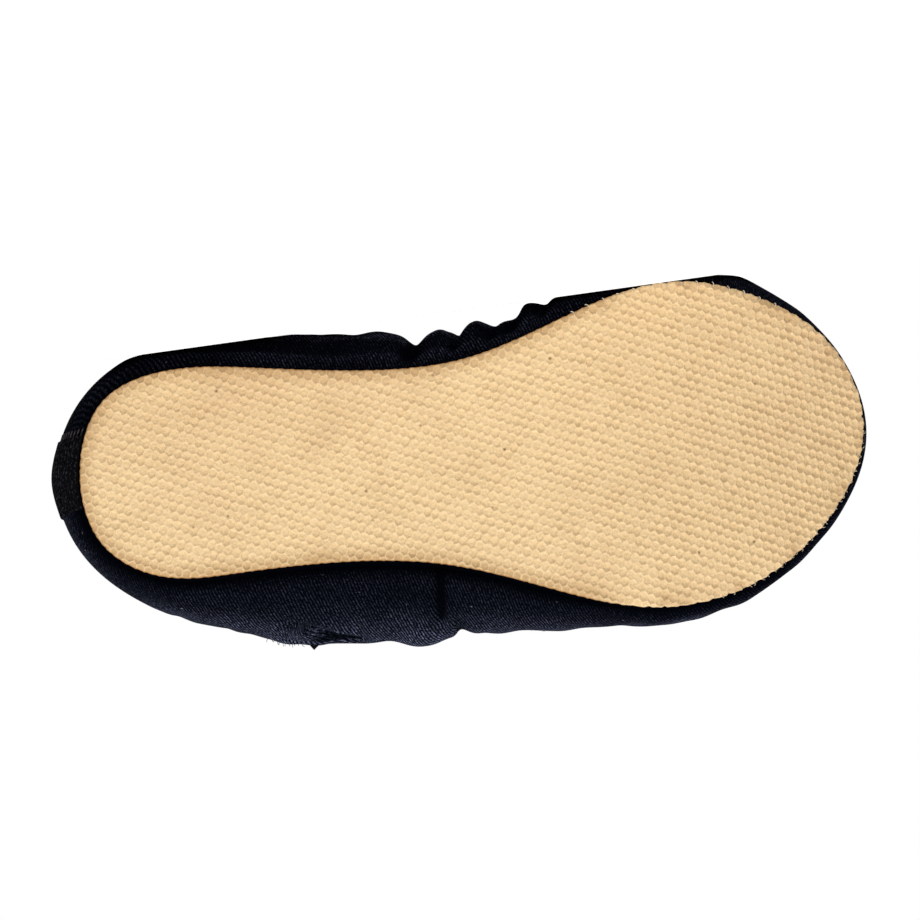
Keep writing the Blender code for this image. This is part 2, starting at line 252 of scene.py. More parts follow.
@dataclass
class SlipperForm:
    """The last that every piece is shaped on, and how the finished shoe lies. Sizes are in millimetres."""

    sole_length: float = 182.0
    ball_width: float = 76.0
    heel_height: float = 48.0
    side_height: float = 40.0
    instep_height: float = 49.0
    spring_start: float = 0.615 * 182.0
    toe_spring: float = 19.0
    sole_thickness: float = 2.2
    wall: float = 1.3
    hem_thickness: float = 2.4
    seam_margin: float = 6.0
    gap: float = 0.3
    collar_back: float = 1.0
    collar_front: float = 97.0
    collar_width: float = 38.0
    collar_offset: float = 3.0
    collar_fullness: float = 0.6
    heel_lean: float = 12.0
    side_lean: float = 48.0
    throat_lean: float = 66.0
    roll: float = 7.9
    lean: float = 3.0
    press_blend: float = 1.2

    def __post_init__(self) -> None:
        """Works out the ribs' curve, and where the frame has the sole."""
        feet = np.array([(rib.along * self.sole_length, rib.across * self.ball_width) for rib in RIBS]) / 100
        spans = np.linalg.norm(np.roll(feet, -1, axis=0) - feet, axis=1)
        knots = np.concatenate([[0.0], np.cumsum(spans)])
        drift = np.array([rib.collar for rib in RIBS]) - 360 * knots[:-1] / knots[-1]
        shapes = np.array([(rib.overhang, rib.bulge, rib.rise, rib.reach) for rib in RIBS])
        self.ribs = ClosedCurve(knots, np.column_stack([feet, shapes, drift]))
        self.perimeter = knots[-1]
        self.heel_share = knots[[rib.name for rib in RIBS].index("heel back")] / self.perimeter
        laid = Matrix(((-1, 0, 0), (0, 0, 1), (0, 1, 0)))
        rolled = Matrix.Rotation(math.radians(self.roll), 3, "Y")
        self.turn = np.array(Matrix.Rotation(math.radians(self.lean), 3, "X") @ rolled @ laid)
        outline = self.edge(np.linspace(0, 1, 720, endpoint=False))[0]
        rims = [self.over_sole(outline[:, 0], outline[:, 1], lift) for lift in (0.0, self.sole_thickness)]
        low_corner = (np.vstack(rims) @ self.turn.T).min(axis=0)
        self.shift = np.array(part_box("outsole")[0]) / MM - low_corner
        lengths = np.linspace(-20.0, self.sole_length + 20.0, 2001)
        runs = np.hypot(1.0, self.spring(lengths)[1])
        unrolled = np.concatenate([[0.0], np.cumsum((runs[1:] + runs[:-1]) / 2 * np.diff(lengths))])
        self.flat_table = (lengths, unrolled + lengths[0])

    def read(self, shares: Array) -> Array:
        """Rows of foot along and across, overhang, bulge, rise, reach and drift, by share of the loop."""
        return self.ribs.read(np.asarray(shares) * self.perimeter)

    def edge(self, shares: Array) -> tuple[Array, Array]:
        """The sole's edge in plan.

        Args:
            shares: shares of the way round, from the tip of the toe by way of the outer side.

        Returns:
            The points, and the directions that lead straight out from them.
        """
        step = 1e-4
        run = unit(self.read(shares + step)[:, :2] - self.read(shares - step)[:, :2])
        return self.read(shares)[:, :2], right_of(run)

    def spring(self, along: Array) -> tuple[Array, Array]:
        """Height and slope of the sole's underside at distances from the heel.

        Args:
            along: the distances in plan.

        Returns:
            The heights and the slopes.
        """
        span = self.sole_length - self.spring_start
        past = np.maximum(0.0, np.asarray(along) - self.spring_start) / span
        return self.toe_spring * past**2, 2 * self.toe_spring * past / span

    def over_sole(self, along: Array, across: Array, lift: Array | float) -> Array:
        """Points at a height over the sole's underside, measured square to it.

        Args:
            along: distances from the heel in plan.
            across: distances across.
            lift: heights over the underside.

        Returns:
            Points in the shoe's frame.
        """
        height, slope = self.spring(along)
        tilt = np.arctan(slope)
        return np.stack([along - lift * np.sin(tilt), across, height + lift * np.cos(tilt)], axis=-1)

    def flat(self, along: Array) -> Array:
        """Lengths along the unrolled sole, from lengths in plan."""
        return np.interp(along, *self.flat_table)

    def plan(self, flat: Array) -> Array:
        """Lengths in plan, from lengths along the unrolled sole."""
        return np.interp(flat, *self.flat_table[::-1])

    def collar(self, angles: Array) -> tuple[Array, Array]:
        """The collar.

        Args:
            angles: degrees round the collar from the throat.

        Returns:
            The points, and the directions in which the cloth arrives there.
        """
        turn = np.radians(angles)
        middle = (self.collar_front + self.collar_back) / 2
        half = (self.collar_front - self.collar_back) / 2
        cosine, sine = np.cos(turn), np.sin(turn)
        front, back = np.maximum(0.0, cosine) ** 2, np.maximum(0.0, -cosine) ** 2
        side = 1 - front - back
        height = self.side_height * side + self.instep_height * front + self.heel_height * back
        lean = np.radians(self.side_lean * side + self.throat_lean * front + self.heel_lean * back)
        aside = self.collar_width / 2 * sine * (1 + self.collar_fullness * cosine**2)
        aside_rate = self.collar_width / 2 * cosine * (1 + self.collar_fullness * (1 - 3 * sine**2))
        inward = unit(np.column_stack([-aside_rate, -half * sine]))
        place = np.column_stack([middle + half * cosine, self.collar_offset + aside, height])
        return place, np.column_stack([inward * np.sin(lean)[:, None], np.cos(lean)])

    def outer_face(self, shares: Array, climbs: Array) -> Array:
        """The cloth's outer face before it is creased.

        Args:
            shares: shares of the way round.
            climbs: -1 at the seam margin's rim, 0 at the sole's edge, 1 at the widest point, 2 at the collar.

        Returns:
            Points by share and climb.
        """
        foot, out = self.edge(shares)
        overhang, bulge, rise, reach, drift = self.read(shares)[:, 2:].T[:, :, None]
        tilt = np.arctan(self.spring(foot[:, 0])[1])
        out_way = np.column_stack([out[:, 0] * np.cos(tilt), out[:, 1], out[:, 0] * np.sin(tilt)])
        up = np.column_stack([-np.sin(tilt), np.zeros_like(tilt), np.cos(tilt)])
        lift = self.sole_thickness + self.gap
        start = self.over_sole(foot[:, 0], foot[:, 1], lift)
        widest = start + out_way * overhang + up * bulge
        end, arrive = self.collar(drift[:, 0] + 360 * shares)
        rows = []
        for climb in climbs:
            if climb <= 0:
                inset = foot + out * self.seam_margin * climb
                rows.append(self.over_sole(inset[:, 0], inset[:, 1], lift))
            elif climb <= 1:
                angle = climb * math.pi / 2
                rows.append(start + out_way * overhang * math.sin(angle) + up * bulge * (1 - math.cos(angle)))
            else:
                part = climb - 1
                rest = 1 - part
                middle = (widest + up * rise) * rest + (end - arrive * reach) * part
                rows.append(widest * rest**3 + 3 * part * rest * middle + end * part**3)
        return np.stack(rows, axis=1)

    def normals(self, face: Array, closed: bool) -> Array:
        """Outward directions of a grid of points.

        Args:
            face: the points, by share and climb.
            closed: whether the shares run round a closed loop, or along a strip.

        Returns:
            Directions by share and climb.
        """
        if closed:
            round_way = np.roll(face, -1, axis=0) - np.roll(face, 1, axis=0)
        else:
            round_way = np.gradient(face, axis=0)
        return unit(np.cross(round_way, np.gradient(face, axis=1)))

    def lay(self, points: Array) -> Array:
        """Points in the world, still in millimetres."""
        return points @ self.turn.T + self.shift

    def press(self, points: Array, floor: float) -> Array:
        """Points in the world, moved straight up where the floor presses them in.

        Args:
            points: points in the world.
            floor: the height below which nothing may lie.

        Returns:
            The points, eased up near the floor.
        """
        pressed = points.copy()
        depth = points[..., 2] - floor
        raised = floor + np.maximum(0.0, depth + self.press_blend) ** 2 / (4 * self.press_blend)
        pressed[..., 2] = np.where(depth < self.press_blend, raised, points[..., 2])
        return pressed


def linear(colour: str) -> tuple[float, float, float, float]:
    """A linear colour from an sRGB hex value such as #E6C596.

    Args:
        colour: the hex value.

    Returns:
        Red, green, blue and an alpha of 1.
    """
    parts = [int(colour[start : start + 2], 16) / 255 for start in (1, 3, 5)]
    parts = [part / 12.92 if part <= 0.04045 else ((part + 0.055) / 1.055) ** 2.4 for part in parts]
    return (*parts, 1.0)


def live_output(source: Node | NodeSocket) -> NodeSocket:
    """The socket to link from: the one given, or a node's first live output."""
    if isinstance(source, Node):
        return next(socket for socket in source.outputs if socket.enabled)
    return source


def add_node(tree: NodeTree, kind: str, inputs: dict | None = None, **settings: object) -> Node:
    """Adds a node to a tree.

    Args:
        tree: the shader or geometry tree.
        kind: the node's type.
        inputs: values, or nodes or sockets to link from, by input name or index.
        settings: the node's own properties.

    Returns:
        The new node.
    """
    node = tree.nodes.new(kind)
    for name, value in settings.items():
        setattr(node, name, value)
    for key, value in (inputs or {}).items():
        if isinstance(value, (Node, NodeSocket)):
            tree.links.new(live_output(value), node.inputs[key])
        else:
            node.inputs[key].default_value = value
    return node


@dataclass(frozen=True)
class Finish:
    """What every finish has: a name and the shader's plain values."""

    name: str
    roughness: float = 0.85
    specular: float = 0.5
    sheen: float = 0.0
    sheen_roughness: float = 0.5
    sheen_tint: str = "#FFFFFF"

    def material(self) -> Material:
        """The material, made once and kept under its name.

        Returns:
            The material.
        """
        found = bpy.data.materials.get(self.name)
        if found:
            return found
        made = bpy.data.materials.new(self.name)
        made.use_nodes = True
        tree = made.node_tree
        shader = tree.nodes["Principled BSDF"]
        plain_values = {
            "Roughness": self.roughness,
            "Specular IOR Level": self.specular,
            "Sheen Weight": self.sheen,
            "Sheen Roughness": self.sheen_roughness,
            "Sheen Tint": linear(self.sheen_tint),
        }
        for name, value in plain_values.items():
            shader.inputs[name].default_value = value
        for name, source in self.paint(tree).items():
            tree.links.new(live_output(source), shader.inputs[name])
        return made

    def paint(self, tree: NodeTree) -> dict[str, Node]:
        """Draws the finish's colour and relief.

        Args:
            tree: the material's nodes.

        Returns:
            The node that feeds each of the shader's inputs that varies over the surface.
        """
        raise NotImplementedError


@dataclass(frozen=True)
class DimpledRubber(Finish):
    """Natural rubber, moulded with small dished cells: matt, warm, browner in its dishes and at its edge."""

    name: str = "moulded_natural_rubber"
    roughness: float = 0.78
    specular: float = 0.25
    ridge: str = "#E8CC9F"
    pit: str = "#E0C395"
    # The rim colour is painted shade along the sole's rounded edge, over a browner cut edge.
    rim: str = "#9F7546"
    # This brown also serves as painted shade, where the tread darkens towards the toe and the inner heel.
    soil_and_shade: str = "#A98253"
    blush: str = "#C9A27C"
    fleck: str = "#6E5030"
    cloud_size: float = 34.0
    patch_size: float = 9.0
    grain_size: float = 0.75
    fleck_spacing: float = 4.6
    rim_width: float = 0.35
    soiled_width: float = 3.6
    trodden_soil_and_shade: float = 0.11
    grain_soil: float = 0.26
    lodged_soil: float = 0.65
    grain_relief: float = 0.4

    def paint(self, tree: NodeTree) -> dict[str, Node]:
        """Colours ridges, dishes, rim, dirt and flecks, paints shade along the rim and away from the light,
        and gives the skin a fine grain.

        Args:
            tree: the material's nodes.

        Returns:
            The node that feeds each input that varies.
        """
        add = partial(add_node, tree)
        tread = add("ShaderNodeAttribute", attribute_name="tread")
        trodden_and_shade = add("ShaderNodeAttribute", attribute_name="trodden_and_shade").outputs["Fac"]
        depth, inside, handled_here = add("ShaderNodeSeparateXYZ", {0: tread.outputs["Vector"]}).outputs
        place = add("ShaderNodeTexCoord").outputs["Object"]
        clouds, patches, grain = (
            add("ShaderNodeTexNoise", {"Vector": place, "Scale": 1 / (size * MM), "Detail": detail})
            for size, detail in ((self.cloud_size, 3.0), (self.patch_size, 4.0), (self.grain_size, 4.0))
        )
        sunk = add("ShaderNodeMapRange", {0: depth, 1: 0.0, 2: 0.4})
        # Dirt from walking together with painted shade: darker at the ball, the toe and the inner heel,
        # lighter on the outer side.
        walked_and_shaded = add("ShaderNodeMath", {0: trodden_and_shade, 1: self.trodden_soil_and_shade}, operation="MULTIPLY")
        coarse = add("ShaderNodeMapRange", {0: grain, 1: 0.45, 2: 0.72, 4: self.grain_soil})
        warm = add("ShaderNodeMapRange", {0: clouds, 1: 0.5, 2: 0.75, 4: 0.22}, interpolation_type=EASED)

        handled = add("ShaderNodeMapRange", {0: inside, 1: self.soiled_width, 2: 0.4, 3: 0.1, 4: 0.75})
        stained = add("ShaderNodeMapRange", {0: patches, 1: 0.42, 2: 0.75}, interpolation_type=EASED)
        dirt = add("ShaderNodeMath", {0: stained, 1: handled}, operation="MULTIPLY")
        beside = add("ShaderNodeMapRange", {0: inside, 1: self.soiled_width, 2: 0.5, 4: self.lodged_soil})
        packed = add("ShaderNodeMapRange", {0: sunk, 3: 0.45, 4: 1.0})
        lodged = add("ShaderNodeMath", {0: packed, 1: beside}, operation="MULTIPLY")
        ground_in = add("ShaderNodeMath", {0: lodged, 1: handled_here}, operation="MULTIPLY")
        dirty = add("ShaderNodeMath", {0: dirt, 1: ground_in}, operation="MAXIMUM")

        spots = add("ShaderNodeTexVoronoi", {"Vector": place, "Scale": 1 / (self.fleck_spacing * MM)})
        near = add("ShaderNodeMapRange", {0: spots.outputs["Distance"], 1: 0.11, 2: 0.04, 4: 0.8})
        chosen = add("ShaderNodeSeparateColor", {0: spots.outputs["Color"]})
        some = add("ShaderNodeMath", {0: chosen.outputs[0], 1: 0.7}, operation="GREATER_THAN")
        speck = add("ShaderNodeMath", {0: near, 1: some}, operation="MULTIPLY")
        # Painted shade along the sole's rounded edge, at the heel and the waist.
        border = add("ShaderNodeMapRange", {0: inside, 1: self.rim_width, 2: 0.0}, interpolation_type=EASED)
        shaded_rim = add("ShaderNodeMath", {0: border, 1: handled_here}, operation="MULTIPLY")

        colour = linear(self.ridge)
        coats = (
            (sunk, self.pit),
            (walked_and_shaded, self.soil_and_shade),
            (coarse, self.soil_and_shade),
            (warm, self.blush),
            (dirty, self.soil_and_shade),
            (speck, self.fleck),
            (shaded_rim, self.rim),
        )
        for share, coat in coats:
            colour = add("ShaderNodeMix", {0: share, 6: colour, 7: linear(coat)}, data_type="RGBA")
        bump = add("ShaderNodeBump", {"Height": grain, "Strength": 0.9, "Distance": self.grain_relief * MM})
        return {"Base Color": colour, "Normal": bump}


@dataclass(frozen=True)
class CottonTwill(Finish):
    """Blue-black cotton drill: steep diagonal lines of fuzzy floats, with painted light and shade and some
    fading that make it paler on the rolls than in the folds.
    """

    name: str = "blue_black_cotton_twill"
    roughness: float = 0.95
    specular: float = 0.01
    sheen: float = 0.2
    sheen_roughness: float = 0.3
    sheen_tint: str = "#B4B9D8"
    furrow: str = "#010206"
    yarn: str = "#4D5166"
    lint: str = "#7E7C86"
    line_pitch: float = 0.75
    line_lean: float = 22.0
    line_wander: float = 0.7
    wander_scale: float = 0.35
    float_length: float = 0.9
    fibre_size: float = 0.4
    cloud_size: float = 13.0
    lint_spacing: float = 3.2
    relief: float = 0.2

    def paint(self, tree: NodeTree) -> dict[str, Node]:
        """Draws the twill's diagonal lines of short floats in the cloth's own lengths.

        Args:
            tree: the material's nodes.

        Returns:
            The node that feeds each input that varies.
        """
        add = partial(add_node, tree)
        cloth = add("ShaderNodeAttribute", attribute_name="cloth").outputs["Vector"]
        # This attribute carries painted light and shade with some fading: shade in the folds, the seam's
        # groove and the pleat's pocket, light on the rolls.
        faded_and_shaded = add("ShaderNodeAttribute", attribute_name="wear_and_shading").outputs["Fac"]
        length, girth, _ = add("ShaderNodeSeparateXYZ", {0: cloth}).outputs
        wander = add("ShaderNodeTexNoise", {"Vector": cloth, "Scale": self.wander_scale, "Detail": 2.0})
        fibre, clouds = (
            add("ShaderNodeTexNoise", {"Vector": cloth, "Scale": 1 / size, "Detail": detail})
            for size, detail in ((self.fibre_size, 2.0), (self.cloud_size, 3.0))
        )
        slant = math.tan(math.radians(self.line_lean))
        line = add("ShaderNodeMath", {0: girth, 1: slant, 2: length}, operation="MULTIPLY_ADD")
        strayed = add("ShaderNodeMath", {0: wander, 1: self.line_wander, 2: line}, operation="MULTIPLY_ADD")
        turns = add("ShaderNodeMath", {0: strayed, 1: math.tau / self.line_pitch}, operation="MULTIPLY")
        wave = add("ShaderNodeMath", {0: turns}, operation="SINE")
        ridge = add("ShaderNodeMapRange", {0: wave, 1: -0.6, 2: 0.95, 3: 0.03}, interpolation_type=EASED)
        number = add("ShaderNodeMath", {0: strayed, 1: self.line_pitch}, operation="DIVIDE")
        gone = add("ShaderNodeMath", {0: girth, 1: self.float_length}, operation="DIVIDE")
        weave = add("ShaderNodeCombineXYZ", {0: number, 1: gone})
        yarns = add("ShaderNodeTexNoise", {"Vector": weave, "Scale": 1.2, "Detail": 2.0})
        spread = {1: 0.36, 2: 0.7, 3: 0.12, 4: 1.15}
        floats = add("ShaderNodeMapRange", {0: yarns, **spread}, interpolation_type=EASED)
        fuzzy = add("ShaderNodeMapRange", {0: fibre, 1: 0.38, 2: 0.66, 3: 0.1, 4: 1.3})
        faded = add("ShaderNodeMapRange", {0: clouds, 1: 0.3, 2: 0.7, 3: 0.5, 4: 1.0})
        steps = [ridge]
        for factor in (floats, fuzzy, faded, faded_and_shaded):
            steps.append(add("ShaderNodeMath", {0: steps[-1], 1: factor}, operation="MULTIPLY"))
        height, tone = steps[2], steps[-1]

        bits = add("ShaderNodeTexVoronoi", {"Vector": cloth, "Scale": 1 / self.lint_spacing})
        near = add("ShaderNodeMapRange", {0: bits.outputs["Distance"], 1: 0.1, 2: 0.03})
        chosen = add("ShaderNodeSeparateColor", {0: bits.outputs["Color"]})
        some = add("ShaderNodeMath", {0: chosen.outputs[1], 1: 0.84}, operation="GREATER_THAN")
        speck = add("ShaderNodeMath", {0: near, 1: some}, operation="MULTIPLY")
        caught = add("ShaderNodeMath", {0: speck, 1: faded_and_shaded}, operation="MULTIPLY")

        ends = {6: linear(self.furrow), 7: linear(self.yarn)}
        woven = add("ShaderNodeMix", {0: tone, **ends}, data_type="RGBA", clamp_factor=False)
        linted = add("ShaderNodeMix", {0: caught, 6: woven, 7: linear(self.lint)}, data_type="RGBA")
        fuzz = add("ShaderNodeMath", {0: tone, 1: self.sheen}, operation="MULTIPLY")
        bump = add("ShaderNodeBump", {"Height": height, "Strength": 0.8, "Distance": self.relief * MM})
        return {"Base Color": linted, "Sheen Weight": fuzz, "Normal": bump}


@dataclass(frozen=True)
class PlainYarn(Finish):
    """Spun yarn or plain-woven cloth in one colour, with the fuzz and fleck of its fibres."""

    name: str = "black_ribbed_tape"
    roughness: float = 0.9
    specular: float = 0.03
    dark: str = "#020203"
    light: str = "#0E0E11"
    fibre_size: float = 0.5
    fleck: Pair = (0.3, 0.7)
    relief: float = 0.1

    def paint(self, tree: NodeTree) -> dict[str, Node]:
        """Mottles the yarn between its two colours, and roughens it with its fibres.

        Args:
            tree: the material's nodes.

        Returns:
            The node that feeds each input that varies.
        """
        add = partial(add_node, tree)
        place = add("ShaderNodeTexCoord").outputs["Object"]
        scale = 1 / (self.fibre_size * MM)
        fibre = add("ShaderNodeTexNoise", {"Vector": place, "Scale": scale, "Detail": 3.0})
        tone = add("ShaderNodeMapRange", {0: fibre, 1: self.fleck[0], 2: self.fleck[1]})
        ends = {6: linear(self.dark), 7: linear(self.light)}
        mottled = add("ShaderNodeMix", {0: tone, **ends}, data_type="RGBA")
        bump = add("ShaderNodeBump", {"Height": fibre, "Strength": 0.6, "Distance": self.relief * MM})
        return {"Base Color": mottled, "Normal": bump}


@dataclass(frozen=True)
class PlainCanvas(Finish):
    """Unbleached cotton canvas in a plain weave, drawn at twice its real thread spacing so that it shows."""

    name: str = "unbleached_cotton_canvas"
    roughness: float = 0.95
    thread: str = "#CDBFA4"
    hollow: str = "#8E8068"
    thread_pitch: float = 1.1
    relief: float = 0.2

    def paint(self, tree: NodeTree) -> dict[str, Node]:
        """Crosses two sets of threads over and under each other.

        Args:
            tree: the material's nodes.

        Returns:
            The node that feeds each input that varies.
        """
        add = partial(add_node, tree)
        cloth = add("ShaderNodeAttribute", attribute_name="cloth").outputs["Vector"]
        scale = math.pi / self.thread_pitch
        turned = add("ShaderNodeVectorMath", {0: cloth, "Scale": scale}, operation="SCALE")
        along, across, _ = add("ShaderNodeSeparateXYZ", {0: turned}).outputs
        warp, weft = (add("ShaderNodeMath", {0: way}, operation="SINE") for way in (along, across))
        weave = add("ShaderNodeMath", {0: warp, 1: weft}, operation="MULTIPLY")
        height = add("ShaderNodeMath", {0: weave}, operation="ABSOLUTE")
        fibre = add("ShaderNodeTexNoise", {"Vector": cloth, "Scale": 0.8, "Detail": 3.0})
        tone = add("ShaderNodeMath", {0: height, 1: fibre}, operation="ADD")
        depth = add("ShaderNodeMapRange", {0: tone, 1: 0.4, 2: 1.2})
        ends = {6: linear(self.hollow), 7: linear(self.thread)}
        woven = add("ShaderNodeMix", {0: depth, **ends}, data_type="RGBA")
        bump = add("ShaderNodeBump", {"Height": height, "Strength": 0.6, "Distance": self.relief * MM})
        return {"Base Color": woven, "Normal": bump}


@dataclass(frozen=True)
class StudioPaper(Finish):
    """Seamless white paper, matt, with hardly any tooth."""

    name: str = "seamless_white_paper"
    roughness: float = 0.95
    specular: float = 0.0
    white: str = "#FAFAFA"
    tooth: str = "#F6F6F6"
    tooth_scale: float = 300.0

    def paint(self, tree: NodeTree) -> dict[str, Node]:
        """Gives the paper a faint mottle.

        Args:
            tree: the material's nodes.

        Returns:
            The node that feeds each input that varies.
        """
        add = partial(add_node, tree)
        place = add("ShaderNodeTexCoord").outputs["Object"]
        fibre = add("ShaderNodeTexNoise", {"Vector": place, "Scale": self.tooth_scale, "Detail": 2.0})
        ends = {6: linear(self.tooth), 7: linear(self.white)}
        return {"Base Color": add("ShaderNodeMix", {0: fibre, **ends}, data_type="RGBA")}


RUBBER = DimpledRubber()
TWILL = CottonTwill()
TAPE = PlainYarn()
RIBS_YARN = PlainYarn(
    name="black_tape_cord", dark="#010102", light="#2C2C32", fibre_size=0.4, fleck=(0.48, 0.68)
)
FRAYED_YARN = PlainYarn(name="frayed_tape_yarn", dark="#0C0B0E", light="#4C474A", fibre_size=0.9)
PALE_THREAD = PlainYarn(name="undyed_cotton_thread", dark="#A79C88", light="#DCD2BE", relief=0.03)
LINT = PlainYarn(name="grey_cotton_lint", dark="#34343B", light="#76747E", relief=0.03)
SEWING_THREAD = PlainYarn(name="black_sewing_thread", light="#23242B", fibre_size=0.3, relief=0.04)
CANVAS = PlainCanvas()
PAPER = StudioPaper()


def make_piece(name: str, vertices: Array, faces: Array | list, finish: Finish) -> Object:
    """Makes a smooth-shaded mesh object.

    Args:
        name: the piece's name.
        vertices: points in the world, in millimetres.
        faces: vertex numbers of each face.
        finish: what it is made of.

    Returns:
        The object, at the origin and in the scene.
    """
    mesh = bpy.data.meshes.new(name)
    mesh.from_pydata((np.asarray(vertices) * MM).tolist(), [], [list(map(int, face)) for face in faces])
    mesh.validate()
    mesh.shade_smooth()
    mesh.materials.append(finish.material())
    piece = bpy.data.objects.new(name, mesh)
    bpy.context.scene.collection.objects.link(piece)
    return piece


def note_points(piece: Object, name: str, rows: Array) -> None:
    """Keeps a row of three numbers for each vertex of a piece, for its material to read."""
    attribute = piece.data.attributes.new(name, "FLOAT_VECTOR", "POINT")
    attribute.data.foreach_set("vector", np.asarray(rows, dtype=np.float32).ravel())


def grid_faces(columns: int, rows: int, round_columns: bool, round_rows: bool) -> Array:
    """Quads of a grid.

    Args:
        columns: points one way, the slower in the vertex order.
        rows: points the other way.
        round_columns: whether the last column joins the first.
        round_rows: whether the last row joins the first.

    Returns:
        Vertex numbers of each quad.
    """
    across = np.arange(columns if round_columns else columns - 1)
    up = np.arange(rows if round_rows else rows - 1)
    column, row = (part.ravel() for part in np.meshgrid(across, up, indexing="ij"))
    next_column, next_row = (column + 1) % columns, (row + 1) % rows
    corners = [(column, row), (next_column, row), (next_column, next_row), (column, next_row)]
    return np.stack([one * rows + other for one, other in corners], axis=1)


def wound(points: Array, triangles: Array, way: int) -> Array:
    """Triangles on the flat, all wound the same way.

    Args:
        points: the points, of which the first two numbers are read.
        triangles: their triangles.
        way: 1 for triangles that face up, -1 for ones that face down.

    Returns:
        The triangles, with the wrong ones turned over.
    """
    one, two, three = (points[triangles[:, place], :2] for place in range(3))
    first, second = two - one, three - one
    wrong = way * (first[:, 0] * second[:, 1] - first[:, 1] * second[:, 0]) < 0
    return np.where(wrong[:, None], triangles[:, ::-1], triangles)


def end_faces(ring: list[int], flip: bool) -> list[list[int]]:
    """Quads that close the end of a flat tube.

    Args:
        ring: vertex numbers round the end, along one face and back along the other.
        flip: whether the quads are turned over.

    Returns:
        Vertex numbers of each quad.
    """
    back = ring[::-1]
    places = range(len(ring) // 2 - 1)
    quads = [[ring[place], ring[place + 1], back[place + 1], back[place]] for place in places]
    return [quad[::-1] for quad in quads] if flip else quads


def finish_piece(piece: Object, slot: Slot, *nodes: str) -> None:
    """Rides a piece on the shoe's body, and has it stand for CAD nodes.

    Args:
        piece: the piece.
        slot: the record's material slot; not used.
        nodes: the CAD nodes it stands for, if any.
    """
    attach(piece, BODY)
    if nodes:
        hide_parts(*nodes)
    piece.data.calc_loop_triangles()
    log.info("%s: %d triangles", piece.name, len(piece.data.loop_triangles))


class NodeShape:
    """A Geometry Nodes tree with named sizes, which turns a guide mesh into a finished mesh."""

    def __init__(self, name: str, sizes: dict[str, tuple[str, object]]) -> None:
        """Starts a tree.

        Args:
            name: the tree's name.
            sizes: socket type and value by input name.
        """
        self.tree = bpy.data.node_groups.new(name, "GeometryNodeTree")
        self.sizes = sizes
        self.sockets = {}
        self.tree.interface.new_socket("Geometry", in_out="INPUT", socket_type="NodeSocketGeometry")
        kinds = {label: kind for label, (kind, _) in sizes.items()}
        for label, kind in {**kinds, "Material": "NodeSocketMaterial"}.items():
            self.sockets[label] = self.tree.interface.new_socket(label, in_out="INPUT", socket_type=kind)
        self.tree.interface.new_socket("Geometry", in_out="OUTPUT", socket_type="NodeSocketGeometry")
        self.start = add_node(self.tree, "NodeGroupInput").outputs

    def add(self, kind: str, inputs: dict | None = None, **settings: object) -> Node:
        """Adds a node to the tree."""
        return add_node(self.tree, kind, inputs, **settings)

    def end(self, shape: Node | NodeSocket) -> None:
        """Closes the tree: instances are realised and the material is set.

        Args:
            shape: what gives the finished shape.
        """
        real = self.add("GeometryNodeRealizeInstances", {0: shape})
        dressed = self.add("GeometryNodeSetMaterial", {"Geometry": real, "Material": self.start["Material"]})
        self.add("NodeGroupOutput", {0: dressed})

    def grow(self, name: str, points: Array, links: list, faces: Array | list, finish: Finish) -> Object:
        """Runs the tree on a guide.

        Args:
            name: the finished piece's name.
            points: the guide's points, in millimetres.
            links: the guide's edges.
            faces: the guide's faces.
            finish: what the piece is made of.

        Returns:
            A plain mesh object, with no modifier left on it.
        """
        guide = bpy.data.meshes.new(name + "_guide")
        guide.from_pydata((np.asarray(points) * MM).tolist(), links, [list(map(int, face)) for face in faces])
        piece = bpy.data.objects.new(name, guide)
        bpy.context.scene.collection.objects.link(piece)
        modifier = piece.modifiers.new(self.tree.name, "NODES")
        modifier.node_group = self.tree
        for label, (_, value) in self.sizes.items():
            modifier[self.sockets[label].identifier] = value
        modifier[self.sockets["Material"].identifier] = finish.material()
        graph = bpy.context.evaluated_depsgraph_get()
        grown = bpy.data.meshes.new_from_object(piece.evaluated_get(graph))
        piece.modifiers.clear()
        piece.data = grown
        grown.name = name
        bpy.data.meshes.remove(guide)
        return piece


def cord_shape(radius: float, sides: int) -> NodeShape:
    """A tree that runs a round cord along every path of its guide.

    Args:
        radius: the cord's radius in millimetres.
        sides: how many sides its section has.

    Returns:
        The tree.
    """
    sizes = {"Radius": ("NodeSocketFloat", radius * MM), "Sides": ("NodeSocketInt", sides)}
    shape = NodeShape("cords", sizes)
    start = shape.start
    paths = shape.add("GeometryNodeMeshToCurve", {0: start["Geometry"]})
    section = {"Radius": start["Radius"], "Resolution": start["Sides"]}
    ring = shape.add("GeometryNodeCurvePrimitiveCircle", section)
    cords = shape.add("GeometryNodeCurveToMesh", {0: paths, 1: ring, "Fill Caps": True})
    shape.end(shape.add("GeometryNodeSetShadeSmooth", {0: cords}))
    return shape


